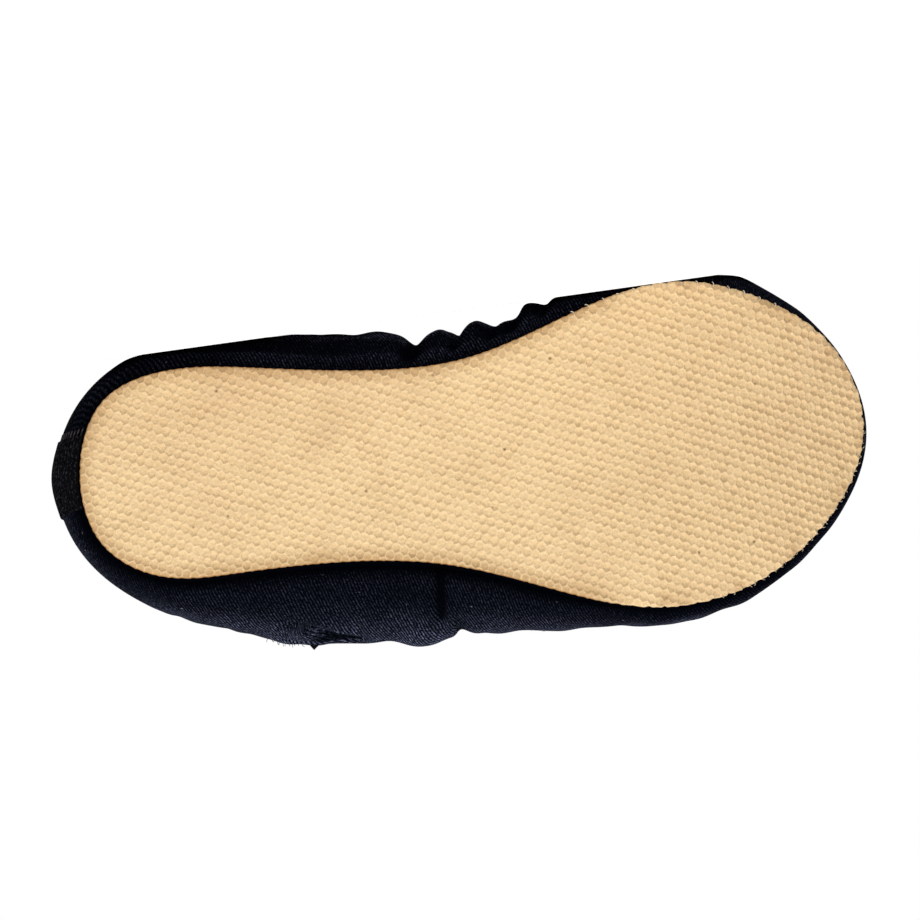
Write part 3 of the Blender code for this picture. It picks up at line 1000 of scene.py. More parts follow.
def stitch_shape(spacing: float, length: float, radius: float) -> NodeShape:
    """A tree that lays a row of stitches along every path of its guide.

    Args:
        spacing: from one stitch to the next, in millimetres.
        length: of one stitch.
        radius: of the thread.

    Returns:
        The tree.
    """
    sizes = {"Spacing": spacing * MM, "Length": length * MM, "Radius": radius * MM}
    shape = NodeShape("stitches", {label: ("NodeSocketFloat", value) for label, value in sizes.items()})
    start = shape.start
    paths = shape.add("GeometryNodeMeshToCurve", {0: start["Geometry"]})
    places = shape.add("GeometryNodeCurveToPoints", {0: paths, "Length": start["Spacing"]}, mode="LENGTH")
    bead = shape.add("GeometryNodeMeshUVSphere", {"Segments": 6, "Rings": 6, "Radius": 0.5})
    width = shape.add("ShaderNodeMath", {0: start["Radius"], 1: 2.0}, operation="MULTIPLY")
    scale = shape.add("ShaderNodeCombineXYZ", {0: width, 1: width, 2: start["Length"]})
    set_out = {"Instance": bead, "Rotation": places.outputs["Rotation"], "Scale": scale}
    shape.end(shape.add("GeometryNodeInstanceOnPoints", {0: places, **set_out}))
    return shape


def lay_cords(name: str, paths: list[Array], radius: float, finish: Finish) -> Object:
    """Lays a thin cord along each of some paths.

    Args:
        name: the piece's name.
        paths: points of each path in the world, in millimetres.
        radius: the cords' radius.
        finish: what they are made of.

    Returns:
        One object that holds all the cords.
    """
    links = []
    start = 0
    for path in paths:
        links += [(start + place, start + place + 1) for place in range(len(path) - 1)]
        start += len(path)
    return cord_shape(radius, CORD_SIDES).grow(name, np.vstack(paths), links, [], finish)


@dataclass
class Outsole:
    """The rubber sole: a thin sheet moulded with small dished cells, cut to the sole's outline.

    The tread is drawn on the unrolled sheet, so that it is not stretched where the toe curls up. Sizes are in
    millimetres, and a pair such as trodden_ball says where an eased step starts and ends.
    """

    form: SlipperForm
    row_step: Pair = (1.44, -1.66)
    column_step: Pair = (-1.89, -0.58)
    dish_depth: float = 0.44
    dish_rings: tuple[Pair, ...] = ((0.95, 0.08), (0.8, 0.52), (0.76, 0.28), (0.6, 0.12))
    shallowest: float = 0.5
    worn_to: float = 100.0
    fresh_from: float = 178.0
    worn_depth: float = 0.85
    fresh_depth: float = 1.15
    jitter: float = 0.24
    seed: int = 3
    edge_round: float = 0.25
    edge_waver: float = 0.06
    top_bevel: float = 0.3
    outline_points: int = 3000
    notch_depth: float = 0.4
    notch_spacing: float = 3.75
    notch_from: float = 118.0
    notch_fade: float = 14.0
    notch_sharpness: int = 5
    handled_fade: float = 4.0
    wall_step: float = 0.05
    # Where the tread darkens: partly dirt from walking, partly painted shade away from the light.
    trodden_ball: Pair = (105.0, 135.0)
    trodden_toe: Pair = (150.0, 178.0)
    trodden_and_shaded_heel: Pair = (75.0, 40.0)
    shaded_heel_side: Pair = (8.0, -14.0)
    clean_and_lit_side: Pair = (12.0, 26.0)
    cap_step: float = 7.0
    steps: Array = field(init=False)

    def __post_init__(self) -> None:
        """Keeps the tread's two steps as rows."""
        self.steps = np.array([self.row_step, self.column_step])

    def outline(self) -> tuple[Array, Array]:
        """The sheet's outline on the flat, nicked where the seam's stitches pull it in.

        Returns:
            The points, and the directions that lead straight out from them.
        """
        shares = np.linspace(0, 1, self.outline_points, endpoint=False)
        plan = self.form.edge(shares)[0]
        points = np.column_stack([self.form.flat(plan[:, 0]), plan[:, 1]])
        out = outward(points)
        gone = shares * self.form.perimeter
        nick = (0.5 + 0.5 * np.cos(math.tau * gone / self.notch_spacing)) ** self.notch_sharpness
        uneven = 0.7 + 0.3 * np.sin(1.9 * gone) * np.sin(0.53 * gone + 1.0)
        strength = smooth_step(self.notch_from, self.notch_from + self.notch_fade, points[:, 0])
        lumps = np.sin(2.9 * gone + 1.3 * np.sin(0.37 * gone))
        lumps = lumps + 0.5 * np.sin(5.3 * gone + 2.1 * np.sin(0.23 * gone))
        inset = self.notch_depth * nick * uneven * strength + self.edge_waver * lumps
        return points - out * inset[:, None], out

    def sheet(self) -> tuple[Array, Array, Array, Array]:
        """Grows the tread's cells over the outline and cuts them along it.

        Returns:
            Points on the flat, their depths, triangles, and each point's distance inside the edge.
        """
        rim = self.outline()[0]
        out = outward(rim)
        tree = KDTree(len(rim))
        for number, point in enumerate(rim):
            tree.insert((point[0], point[1], 0.0), number)
        tree.balance()
        points, quads = self.lattice()
        grown = self.tread_shape().grow("tread_sheet", points, [], quads, RUBBER)
        mesh = grown.data
        mesh.calc_loop_triangles()
        places = np.empty(len(mesh.vertices) * 3, dtype=np.float32)
        mesh.vertices.foreach_get("co", places)
        triangles = np.empty(len(mesh.loop_triangles) * 3, dtype=np.int32)
        mesh.loop_triangles.foreach_get("vertices", triangles)
        bpy.data.objects.remove(grown)
        points, triangles = places.reshape(-1, 3).astype(float) / MM, triangles.reshape(-1, 3)
        nearest = np.array([tree.find((point[0], point[1], 0.0))[1] for point in points])
        inside = np.einsum("ij,ij->i", rim[nearest] - points[:, :2], out[nearest])
        points, triangles, inside = self.cut(points, wound(points, triangles, -1), inside)
        return points[:, :2], points[:, 2], triangles, inside

    def cut(self, points: Array, triangles: Array, inside: Array) -> tuple[Array, Array, Array]:
        """Keeps what lies inside the edge, and splits the triangles that cross it.

        Args:
            points: points on the flat, with their depths.
            triangles: their triangles.
            inside: each point's distance inside the edge.

        Returns:
            The points that are used, their triangles and their distances.
        """
        known = inside[triangles]
        whole = triangles[(known >= 0).all(axis=1) & (known > 0).any(axis=1)].tolist()
        crossing = triangles[(known < 0).any(axis=1) & (known > 0).any(axis=1)]
        added: dict[tuple[int, int], int] = {}
        extra: list[Array] = []
        for triangle in crossing.tolist():
            kept: list[int] = []
            for start, stop in zip(triangle, triangle[1:] + triangle[:1]):
                if inside[start] >= 0:
                    kept.append(start)
                if inside[start] * inside[stop] < 0:
                    key = (min(start, stop), max(start, stop))
                    if key not in added:
                        share = inside[key[0]] / (inside[key[0]] - inside[key[1]])
                        added[key] = len(points) + len(extra)
                        extra.append(points[key[0]] + (points[key[1]] - points[key[0]]) * share)
                    kept.append(added[key])
            whole += [[kept[0], kept[place], kept[place + 1]] for place in range(1, len(kept) - 1)]
        points = np.vstack([points, *[row[None] for row in extra]])
        inside = np.concatenate([inside, np.zeros(len(extra))])
        used, renumbered = np.unique(np.array(whole), return_inverse=True)
        return points[used], renumbered.reshape(-1, 3), np.maximum(0.0, inside[used])

    def lattice(self) -> tuple[Array, Array]:
        """A lattice that covers the sole, with one point for each cell.

        Returns:
            Its points and quads.
        """
        rim = self.outline()[0]
        low, high = rim.min(axis=0), rim.max(axis=0)
        corners = np.array([(x, y) for x in (low[0], high[0]) for y in (low[1], high[1])])
        spans = corners @ np.linalg.inv(self.steps)
        low = np.floor(spans.min(axis=0)).astype(int) - 2
        high = np.ceil(spans.max(axis=0)).astype(int) + 3
        first, second = np.meshgrid(np.arange(low[0], high[0]), np.arange(low[1], high[1]), indexing="ij")
        points = first[..., None] * self.steps[0] + second[..., None] * self.steps[1]
        flat = points.reshape(-1, 2)
        return np.column_stack([flat, np.zeros(len(flat))]), grid_faces(*points.shape[:2], False, False)

    def tread_shape(self) -> NodeShape:
        """The tree that turns each point of a lattice into a six-sided cell, dished in rings.

        Returns:
            The tree.
        """
        sizes = {
            "Jitter": self.jitter * MM,
            "Depth": self.dish_depth * MM,
            "Shallowest": self.shallowest,
            "Worn To": self.worn_to * MM,
            "Fresh From": self.fresh_from * MM,
            "Worn Depth": self.worn_depth,
            "Fresh Depth": self.fresh_depth,
            "Seed": self.seed,
        }
        for number, (size, sinking) in enumerate(self.dish_rings):
            sizes[f"Ring {number} Size"] = size
            sizes[f"Ring {number} Sinking"] = sinking
        kinds = {label: "NodeSocketInt" if label == "Seed" else "NodeSocketFloat" for label in sizes}
        shape = NodeShape("dished_tread", {label: (kinds[label], value) for label, value in sizes.items()})
        start, add = shape.start, shape.add
        spread = {0: (-1.0, -1.0, 0.0), 1: (1.0, 1.0, 0.0), "Seed": start["Seed"]}
        chance = add("FunctionNodeRandomValue", spread, data_type="FLOAT_VECTOR")
        astray = add("ShaderNodeVectorMath", {0: chance, "Scale": start["Jitter"]}, operation="SCALE")
        loose = add("GeometryNodeSetPosition", {"Geometry": start["Geometry"], "Offset": astray})
        cells = add("GeometryNodeDualMesh", {0: add("GeometryNodeTriangulate", {0: loose})})
        depths = {2: start["Shallowest"], 3: 1.0, "Seed": start["Seed"]}
        uneven = add("FunctionNodeRandomValue", depths, data_type="FLOAT")
        place = add("ShaderNodeSeparateXYZ", {0: add("GeometryNodeInputPosition")})
        wear_and_shading = {1: start["Worn To"], 2: start["Fresh From"], 3: start["Worn Depth"], 4: start["Fresh Depth"]}
        kept = add("ShaderNodeMapRange", {0: place.outputs["X"], **wear_and_shading})
        left = add("ShaderNodeMath", {0: uneven, 1: kept}, operation="MULTIPLY")
        note = {"Geometry": cells, "Name": "cell_depth", "Value": left}
        noted = add("GeometryNodeStoreNamedAttribute", note, data_type="FLOAT", domain="FACE")
        deep = add("GeometryNodeInputNamedAttribute", {"Name": "cell_depth"}, data_type="FLOAT")
        depth = add("ShaderNodeMath", {0: deep, 1: start["Depth"]}, operation="MULTIPLY")
        sheet, chosen = noted, {}
        for number in range(len(self.dish_rings)):
            draw = {"Mesh": sheet, "Offset Scale": 0.0, "Individual": True, **chosen}
            drawn = add("GeometryNodeExtrudeMesh", draw, mode="FACES")
            chosen = {"Selection": drawn.outputs["Top"]}
            shrink = {"Geometry": drawn.outputs["Mesh"], "Scale": start[f"Ring {number} Size"], **chosen}
            shrunk = add("GeometryNodeScaleElements", shrink, domain="FACE")
            fall = add("ShaderNodeMath", {0: depth, 1: start[f"Ring {number} Sinking"]}, operation="MULTIPLY")
            offset = add("ShaderNodeCombineXYZ", {2: fall})
            sheet = add("GeometryNodeSetPosition", {"Geometry": shrunk, "Offset": offset, **chosen})
        shape.end(add("GeometryNodeTriangulate", {0: sheet}))
        return shape

    def build(self) -> Object:
        """Builds the closed sheet: tread, rounded edge, side wall and a plain top.

        Returns:
            The outsole.
        """
        flat, depths, triangles, inside = self.sheet()
        short = np.maximum(0.0, self.edge_round - inside)
        turned = self.edge_round - np.sqrt(np.maximum(0.0, self.edge_round**2 - short**2))
        lifts = depths + turned

        loop = self.edge_loop(triangles)
        rim, out = self.outline()
        out = out[np.array([np.argmin(np.sum((rim - point) ** 2, axis=1)) for point in flat[loop]])]
        thickness = self.form.sole_thickness
        levels = [(0.5 * thickness, 0.0), (thickness - self.top_bevel, 0.0), (thickness, self.top_bevel)]
        flats, heights, faces = [flat], [lifts], [triangles]
        below = loop
        for number, (lift, inset) in enumerate(levels):
            above = len(flat) + number * len(loop) + np.arange(len(loop))
            flats.append(flat[loop] - out * inset)
            heights.append(np.maximum(lift, lifts[loop] + self.wall_step * number))
            ring = np.column_stack([below, np.roll(below, -1), np.roll(above, -1)])
            faces += [ring, np.column_stack([below, np.roll(above, -1), above])]
            below = above
        top_points, top_faces = self.cap(flats[-1])
        start = len(flat) + (len(levels) - 1) * len(loop)
        flats.append(top_points[len(loop) :])
        heights.append(np.full(len(top_points) - len(loop), thickness))
        faces.append(top_faces + start)
        flat_all, lift_all = np.vstack(flats), np.concatenate(heights)
        points = self.form.over_sole(self.form.plan(flat_all[:, 0]), flat_all[:, 1], lift_all)
        laid = self.form.lay(points)
        laid[:, 2] = np.maximum(laid[:, 2], 0.0)
        piece = make_piece("rubber_outsole", laid, np.vstack(faces), RUBBER)
        notes = np.zeros((len(points), 3))
        notes[: len(flat), 0] = depths / self.dish_depth
        notes[: len(flat), 1] = inside
        handled = (self.notch_from + self.notch_fade, self.notch_from - self.handled_fade)
        notes[:, 2] = smooth_step(*handled, flat_all[:, 0])
        note_points(piece, "tread", notes)
        # The tread's darkening, dirt and painted shade together, for the rubber to read.
        note_points(piece, "trodden_and_shade", np.repeat(self.trodden_and_shade(*flat_all.T)[:, None], 3, axis=1))
        return piece

    def trodden_and_shade(self, along: Array, across: Array) -> Array:
        """How far the tread is darkened, which is most at the ball, the toe and the inner heel: partly dirt
        from walking, partly painted shade where the sole faces away from the light.

        Args:
            along: how far along the flat sheet the places are.
            across: how far across it they are.

        Returns:
            A share for each place, which may pass 1 under the toe.
        """
        ball = smooth_step(*self.trodden_ball, along) * (0.75 + 0.45 * smooth_step(*self.trodden_toe, along))
        heel = 0.8 * smooth_step(*self.trodden_and_shaded_heel, along) * smooth_step(*self.shaded_heel_side, across)
        return ball * (1 - 0.8 * smooth_step(*self.clean_and_lit_side, across)) + heel

    def edge_loop(self, triangles: Array) -> Array:
        """Follows the sheet's open edge once round.

        Args:
            triangles: the sheet's triangles.

        Returns:
            The vertices along the edge, against the way its triangles are wound.
        """
        edges = np.vstack([triangles[:, [0, 1]], triangles[:, [1, 2]], triangles[:, [2, 0]]])
        keys = edges.min(axis=1) * (triangles.max() + 1) + edges.max(axis=1)
        _, first, counts = np.unique(keys, return_index=True, return_counts=True)
        following = {int(start): int(stop) for stop, start in edges[first[counts == 1]]}
        loop = [next(iter(following))]
        while following[loop[-1]] != loop[0]:
            loop.append(following[loop[-1]])
        return np.array(loop)

    def cap(self, rim: Array) -> tuple[Array, Array]:
        """A plain sheet inside a rim.

        Args:
            rim: the rim's points on the flat.

        Returns:
            The rim's points and those inside it, and triangles that face up.
        """
        low, high = rim.min(axis=0), rim.max(axis=0)
        across, up = (np.arange(low[axis], high[axis], self.cap_step) for axis in range(2))
        grid = np.array([(x, y) for x in across for y in up])
        gaps = np.linalg.norm(grid[:, None] - rim[None, ::4], axis=2).min(axis=1)
        points = np.vstack([rim, grid[gaps > 0.5 * self.cap_step]])
        edges = [(place, (place + 1) % len(rim)) for place in range(len(rim))]
        found = delaunay_2d_cdt([Vector(point) for point in points], edges, [], 1, 1e-7)
        origins = np.array([source[0] for source in found[3]])
        faces = wound(points, origins[np.array(found[2])], 1)
        used = np.unique(np.concatenate([np.arange(len(rim)), faces.ravel()]))
        renumber = np.zeros(len(points), dtype=int)
        renumber[used] = np.arange(len(used))
        return points[used], renumber[faces]


@dataclass
class Upper:
    """The hollow twill upper: gathered at the waist, hemmed at the collar, flat where it lies down.

    Sizes are in millimetres. A pair such as inner_roll says where an eased step of the painted light and
    shade
    starts and ends: up the cloth, along the shoe, or as a share of the climb to the widest line. The last
    fields are measured in build.
    """

    form: SlipperForm
    columns: int = 640
    margin_rows: int = 4
    bulge_rows: int = 60
    shoulder_rows: int = 42
    inner_rows: int = 24
    groove_rows: int = 9
    creased: Pair = (44.0, 114.0)
    closeness: float = 2.2
    crowding: float = 1.6
    hem_depth: float = 9.5
    hem_puff: float = 0.35
    gather_depth: float = 0.5
    gather_pitch: float = 4.6
    tape_half: float = 13.0
    wrinkle: float = 0.12
    groove_depth: float = 1.3
    groove_width: float = 2.4
    seam_ridge: float = 0.45
    # How far up from the sole the painted shade of the seam's groove reaches.
    seam_shade_reach: float = 5.0
    # Painted shade in the creases' troughs; roll_light is painted highlight on their ridges, pocket_shade a
    # painted shadow in the pleat's pocket.
    fold_shade: float = 0.9
    twist_width: float = 13.0
    twist_turn: float = -46.0
    pocket_foot: float = 27.6
    toe_from: float = 155.0
    toe_to: float = 182.0
    middle: Pair = (4.6, -4.6)
    fold_turns: tuple[float, ...] = (36.0, 72.0, 108.0, 144.0)
    inner_follow: float = 0.9
    floor_wall: float = 0.85
    crease_end: float = 4.0
    rounded_heel: Pair = (55.0, 25.0)
    stitch_sink: float = 0.45
    stitch_width: float = 0.9
    shaded_depth: Pair = (-0.2, -1.7)
    lit_height: Pair = (0.2, 1.0)
    roll_light: float = 0.5
    pocket_shade: float = 0.86
    # Eased steps of the painted light and shade over the cloth: outside paler towards and on the widest line,
    # inside a lit band by the sole, shade above it and a highlight on the widest line.
    outer_light_rise: Pair = (0.2, 0.87)
    rim_light_share: Pair = (0.3, 0.9)
    rim_light_above: Pair = (9.0, 2.0)
    rim_light_along: Pair = (8.0, 25.0)
    rim_light_gain: float = 1.5
    inner_seam: Pair = (0.3, 1.4)
    inner_shade: Pair = (4.0, 6.0)
    inner_roll: Pair = (8.5, 12.5)
    inner_top: Pair = (16.0, 22.0)
    inner_along: Pair = (20.0, 55.0)
    inner_gain: float = 2.4
    side_blend: float = 9.0
    toe: int = field(init=False)
    collar_round: float = field(init=False)
    shares: Array = field(init=False)
    climbs: Array = field(init=False)
    climb: Array = field(init=False)
    below: Array = field(init=False)
    side: Array = field(init=False)
    aside: Array = field(init=False)
    length: Array = field(init=False)
    fall: Array = field(init=False)
    girth: Array = field(init=False)
    collar_gone: Array = field(init=False)
    outer: Array = field(init=False)
    out: Array = field(init=False)

    def build(self) -> Object:
        """Builds the upper's closed skin.

        Returns:
            The upper.
        """
        form = self.form
        self.shares = self.spread()
        self.toe = int(np.argmin(np.minimum(self.shares, 1 - self.shares)))
        margin = np.linspace(-1, 0, self.margin_rows + 1)[:-1]
        bulge = np.linspace(0, 1, self.bulge_rows + 1)[:-1]
        shoulder = 2 - (1 - np.linspace(0, 1, self.shoulder_rows)) ** self.crowding
        self.climbs = np.concatenate([margin, bulge, shoulder])
        face = form.outer_face(self.shares, self.climbs)
        normals = form.normals(face, True)
        self.measure(face)
        folded = self.creases()
        moved = folded + self.hem() + self.wrinkles() + self.groove()
        self.outer = form.press(form.lay(face + normals * moved[..., None]), 0.0)
        self.out = form.normals(self.outer, True)

        spaced = np.linspace(0, len(self.climbs) - 1, self.inner_rows).astype(int)
        kept = np.unique(np.concatenate([np.arange(self.margin_rows + self.groove_rows), spaced]))[::-1]
        hemmed = smooth_step(self.hem_depth + 1, self.hem_depth - 1, self.below)
        thick = form.wall + (form.hem_thickness - form.wall) * hemmed
        thick = thick + self.seam_ridge * np.exp(-(self.climb**2))
        inner = face[:, kept] + normals[:, kept] * (self.inner_follow * moved - thick)[:, kept, None]
        inner = form.press(form.lay(inner), self.floor_wall * form.wall)
        half = (self.outer[:, -1] - inner[:, 0]) / 2
        up = unit(self.outer[:, -1] - self.outer[:, -4]) * np.linalg.norm(half, axis=1)[:, None]
        middle = self.outer[:, -1] - half
        turns = np.radians(self.fold_turns)
        fold = np.stack([middle + half * math.cos(turn) + up * math.sin(turn) for turn in turns], axis=1)
        skin = np.concatenate([self.outer, fold, inner], axis=1)
        faces = grid_faces(self.columns, skin.shape[1], True, True)
        piece = make_piece("twill_upper", skin.reshape(-1, 3), faces, TWILL)
        note_points(piece, "cloth", self.on_skin(self.twisted(), kept).reshape(-1, 3))
        # Painted shade in the creases' troughs, painted highlight on their ridges and painted shadow in the
        # pleat's pocket go into the cloth's colour.
        shaded = self.fold_shade * smooth_step(*self.shaded_depth, folded)
        lit = self.roll_light * smooth_step(*self.lit_height, folded)
        faded_and_shaded = self.faded_and_shaded() * (1 - shaded + lit)
        faded_and_shaded *= 1 - self.pocket_shade * self.pocket()
        note_points(piece, "wear_and_shading", np.repeat(self.on_skin(faded_and_shaded, kept).reshape(-1, 1), 3, axis=1))
        return piece

    def on_skin(self, rows: Array, kept: Array) -> Array:
        """Values of the outer face, carried on over the hem's fold and the inner face.

        Args:
            rows: values by column and row of the outer face.
            kept: the rows that the inner face has.

        Returns:
            Values by column and row of the whole skin.
        """
        fold = np.repeat(rows[:, -1:], len(self.fold_turns), axis=1)
        return np.concatenate([rows, fold, rows[:, kept]], axis=1)

    def faded_and_shaded(self) -> Array:
        """How light the cloth is painted, partly standing for fading: outside, painted shade in the seam's
        groove and painted light growing towards the widest line; inside, a lit band beside the sole, painted
        shade above it and a painted highlight on the widest line.

        Returns:
            A share by column and row, which passes 1 where the painted highlight is strongest.
        """
        climb = self.climb
        widest = climb[:, self.margin_rows + self.bulge_rows, None]
        share = climb / widest
        # Painted shade in the seam's groove, then painted light growing towards the widest line.
        outside = smooth_step(0.5, np.minimum(self.seam_shade_reach, 0.45 * widest), climb)
        outside *= 0.4 + 0.8 * smooth_step(*self.outer_light_rise, share)
        # Painted highlight on and just above the widest line, away from the heel.
        rim_light = smooth_step(*self.rim_light_share, share) * smooth_step(*self.rim_light_above, climb - widest)
        outside += self.rim_light_gain * rim_light * smooth_step(*self.rim_light_along, self.length)
        # Inside: a lit band beside the sole, painted shade above it, a painted highlight on the roll, darker
        # towards the heel.
        inside = smooth_step(*self.inner_seam, climb) * (0.7 - 0.45 * smooth_step(*self.inner_shade, climb))
        roll = smooth_step(*self.inner_roll, climb) * smooth_step(*self.inner_top[::-1], climb)
        inside += self.inner_gain * roll + smooth_step(*self.inner_top, climb)
        inside *= 0.45 + 0.55 * smooth_step(*self.inner_along, self.length)
        inward = smooth_step(self.side_blend, -self.side_blend, self.aside)
        return inside * inward + outside * (1 - inward)

    def pocket(self) -> Array:
        """How deep in the pleat's pocket the cloth lies, for a wedge of painted shadow under the lip, to its
        tip.

        Returns:
            A share by column and row.
        """
        gone, aside, span = PLEAT_LIP.seen_from(self.length, self.climb)
        inside = smooth_step(0.2, 0.9, -aside)
        inside = inside * smooth_step(self.pocket_foot + 1.0, self.pocket_foot, self.climb)
        inside = inside * smooth_step(1.5, 6.5, gone) * smooth_step(span + 1.5, span + 0.5, gone)
        return inside * (self.side == Side.OUTER.value)[:, None]

    def spread(self) -> Array:
        """Shares of the way round from the heel, closer together where the cloth is creased.

        Returns:
            A share for each column.
        """
        even = np.linspace(0, 1, 4001)
        along = self.form.edge((self.form.heel_share + even) % 1.0)[0][:, 0]
        low, high = self.creased
        inside = smooth_step(low - 5.0, low, along) * smooth_step(high + 5.0, high, along)
        weight = 1 + (self.closeness - 1) * inside
        gone = np.concatenate([[0.0], np.cumsum((weight[1:] + weight[:-1]) / 2)])
        places = np.interp(np.linspace(0, gone[-1], self.columns, endpoint=False), gone, even)
        return (self.form.heel_share + places) % 1.0

    def spot(self, side: Side, along: float, climb: float) -> tuple[Array, Array]:
        """A place on the finished cloth.

        Args:
            side: of the shoe.
            along: how far along the shoe.
            climb: how far up the cloth from the sole's edge.

        Returns:
            The point in the world, and the direction straight out from the cloth.
        """
        far = np.hypot(self.length - along, self.climb - climb) + 1e3 * (self.side != side.value)[:, None]
        column, row = np.unravel_index(np.argmin(far), far.shape)
        return self.outer[column, row], self.out[column, row]

    def measure(self, face: Array) -> None:
        """Measures the cloth: climb up from the sole's edge, length along the shoe and girth round it.

        Args:
            face: the uncreased outer face's points, by column and row.
        """
        form = self.form
        up_steps = np.linalg.norm(np.diff(face, axis=1), axis=2)
        climb = np.concatenate([np.zeros((self.columns, 1)), np.cumsum(up_steps, axis=1)], axis=1)
        self.climb = climb - climb[:, self.margin_rows, None]
        self.below = self.climb[:, -1:] - self.climb
        inner_side = self.shares > form.heel_share
        self.side = np.where(inner_side, Side.INNER.value, Side.OUTER.value)

        along = face[..., 0]
        self.aside = face[..., 1] - np.interp(along, (0.0, self.toe_to), self.middle)
        ahead = np.roll(face, -1, axis=0) - face
        rounding = smooth_step(*self.rounded_heel, along)
        steps = ahead[..., 0] * (1 - rounding) - np.linalg.norm(ahead, axis=2) * rounding * self.side[:, None]
        gone = np.concatenate([np.zeros((1, along.shape[1])), np.cumsum(steps, axis=0)[:-1]])
        self.length = gone - gone[self.toe] + along[self.toe]

        widest = self.margin_rows + self.bulge_rows
        ridge = face[self.toe, widest:][::-1]
        top = np.interp(self.toe_from, ridge[:, 0], ridge[:, 2])
        self.fall = np.maximum(0.0, top - face[..., 2]) * smooth_step(self.toe_from, self.toe_to, along)
        middle = np.interp(along, ridge[:, 0], ridge[:, 1])
        crown = np.interp(along, ridge[:, 0], ridge[:, 2])
        down = np.abs(face[..., 1] - middle) + np.maximum(0.0, crown - face[..., 2])
        reach = self.climb[:, widest] + down[:, widest]
        order = {}
        for side in Side:
            chosen = np.flatnonzero(self.side == side.value)
            chosen = chosen[np.argsort(along[chosen, widest])]
            order[side] = np.interp(along, along[chosen, widest], reach[chosen])
        outer_reach, inner_reach = order[Side.OUTER], order[Side.INNER]
        over = outer_reach - down * self.side[:, None]
        under = np.where(inner_side[:, None], outer_reach + inner_reach - self.climb, self.climb)
        self.girth = np.where(self.climbs[None] >= 1, over, under)
        collar = np.linalg.norm(np.roll(face[:, -1], -1, axis=0) - face[:, -1], axis=1)
        self.collar_gone = np.concatenate([[0.0], np.cumsum(collar)[:-1]])
        self.collar_round = collar.sum()

    def creases(self) -> Array:
        """How far the creases in the table move each point of the cloth.

        Returns:
            Moves by column and row, in millimetres.
        """
        moved = np.zeros_like(self.climb)
        for crease in CREASES:
            gone, aside, span = crease.seen_from(self.length, self.climb)
            past = np.maximum(0.0, np.maximum(-gone, gone - span))
            width = np.where(aside > 0, crease.toeward, crease.heelward)
            ends = np.exp(-((past / self.crease_end) ** 2))
            on_side = (self.side == crease.side.value)[:, None]
            moved += on_side * crease.lift * np.exp(-((aside / width) ** 2)) * ends
        return moved

    def hem(self) -> Array:
        """How far the hem's fold, its stitch line and the elastic's gathers move each point.

        Returns:
            Moves by column and row.
        """
        gone = self.collar_gone[:, None]
        turn = math.tau * gone / self.collar_round
        uneven = 1.3 * np.sin(turn * 9) + 0.8 * np.sin(turn * 4)
        gathers = np.sin(turn * np.round(self.collar_round / self.gather_pitch) + uneven)
        fading = np.exp(-((self.below / (1.5 * self.hem_depth)) ** 2))
        fold = self.hem_puff * smooth_step(self.hem_depth + 0.3, self.hem_depth - 2.0, self.below)
        line = -self.stitch_sink * np.exp(-(((self.below - self.hem_depth) / self.stitch_width) ** 2))
        from_heel = np.minimum(gone, self.collar_round - gone)
        clear = smooth_step(self.tape_half - 2.0, self.tape_half + 3.0, from_heel)
        return clear * (self.gather_depth * gathers * fading + fold + line)

    def wrinkles(self) -> Array:
        """Small slack waves all over the cloth, away from the seam and the heel tape.

        Returns:
            Moves by column and row.
        """
        along, climb = self.length, self.climb
        waves = (
            np.sin(0.61 * along + 0.17 * climb)
            + np.sin(0.34 * along - 0.29 * climb + 1.7)
            + np.sin(0.93 * along + 0.41 * climb + 0.6) * 0.6
            + np.sin(0.21 * along + 0.52 * climb + 2.9)
        )
        clear = smooth_step(2.0, 9.0, climb) * smooth_step(8.0, 22.0, along)
        return self.wrinkle * waves * clear

    def groove(self) -> Array:
        """How far the seam draws the cloth in beside the sole's edge."""
        drawn = np.exp(-((self.climb / self.groove_width) ** 2)) * smooth_step(0.0, 0.9, self.climb)
        return -self.groove_depth * drawn

    def twisted(self) -> Array:
        """The cloth's own lengths, turned in the fold that comes up from under the pleat's lip.

        Returns:
            Rows of length, girth and climb, by column and row.
        """
        gone, aside, span = PLEAT_LIP.seen_from(self.length, self.climb)
        beyond = -aside
        near = smooth_step(-0.3, 0.3, beyond) * smooth_step(self.twist_width, 0.5 * self.twist_width, beyond)
        near = near * smooth_step(-4.0, 1.0, gone) * smooth_step(span + 3.0, span - 1.0, gone)
        turn = math.radians(self.twist_turn) * near * (self.side == Side.OUTER.value)[:, None]
        along = self.length - (PLEAT_LIP.along_from + PLEAT_LIP.along_to) / 2
        climb = self.climb - (PLEAT_LIP.climb_from + PLEAT_LIP.climb_to) / 2
        turned_along = along * np.cos(turn) + climb * np.sin(turn)
        turned_climb = climb * np.cos(turn) - along * np.sin(turn)
        length = self.length + self.fall + turned_along - along
        return np.stack([-length, self.girth + turned_climb - climb, self.climb], axis=-1)

    def hem_path(self) -> Array:
        """The line of the hem's stitching, on the finished cloth.

        Returns:
            Points in the world, one for each column.
        """
        rows = []
        for column in range(self.columns):
            row = np.interp(-self.hem_depth, -self.below[column], np.arange(len(self.climbs)))
            low = int(row)
            below, above = self.outer[column, low : low + 2]
            rows.append(below + (above - below) * (row - low))
        return np.array(rows)


@dataclass
class HemStitches:
    """The row of lockstitch that holds the hem's fold."""

    upper: Upper
    spacing: float = 2.9
    length: float = 2.3
    radius: float = 0.22

    def build(self) -> Object:
        """Sews the row round the collar, clear of the heel tape.

        Returns:
            The stitches.
        """
        gone = self.upper.collar_gone
        clear = np.minimum(gone, self.upper.collar_round - gone) > self.upper.tape_half
        path = self.upper.hem_path()[clear]
        links = [(place, place + 1) for place in range(len(path) - 1)]
        row = stitch_shape(self.spacing, self.length, self.radius)
        return row.grow("hem_stitches", path, links, [], SEWING_THREAD)


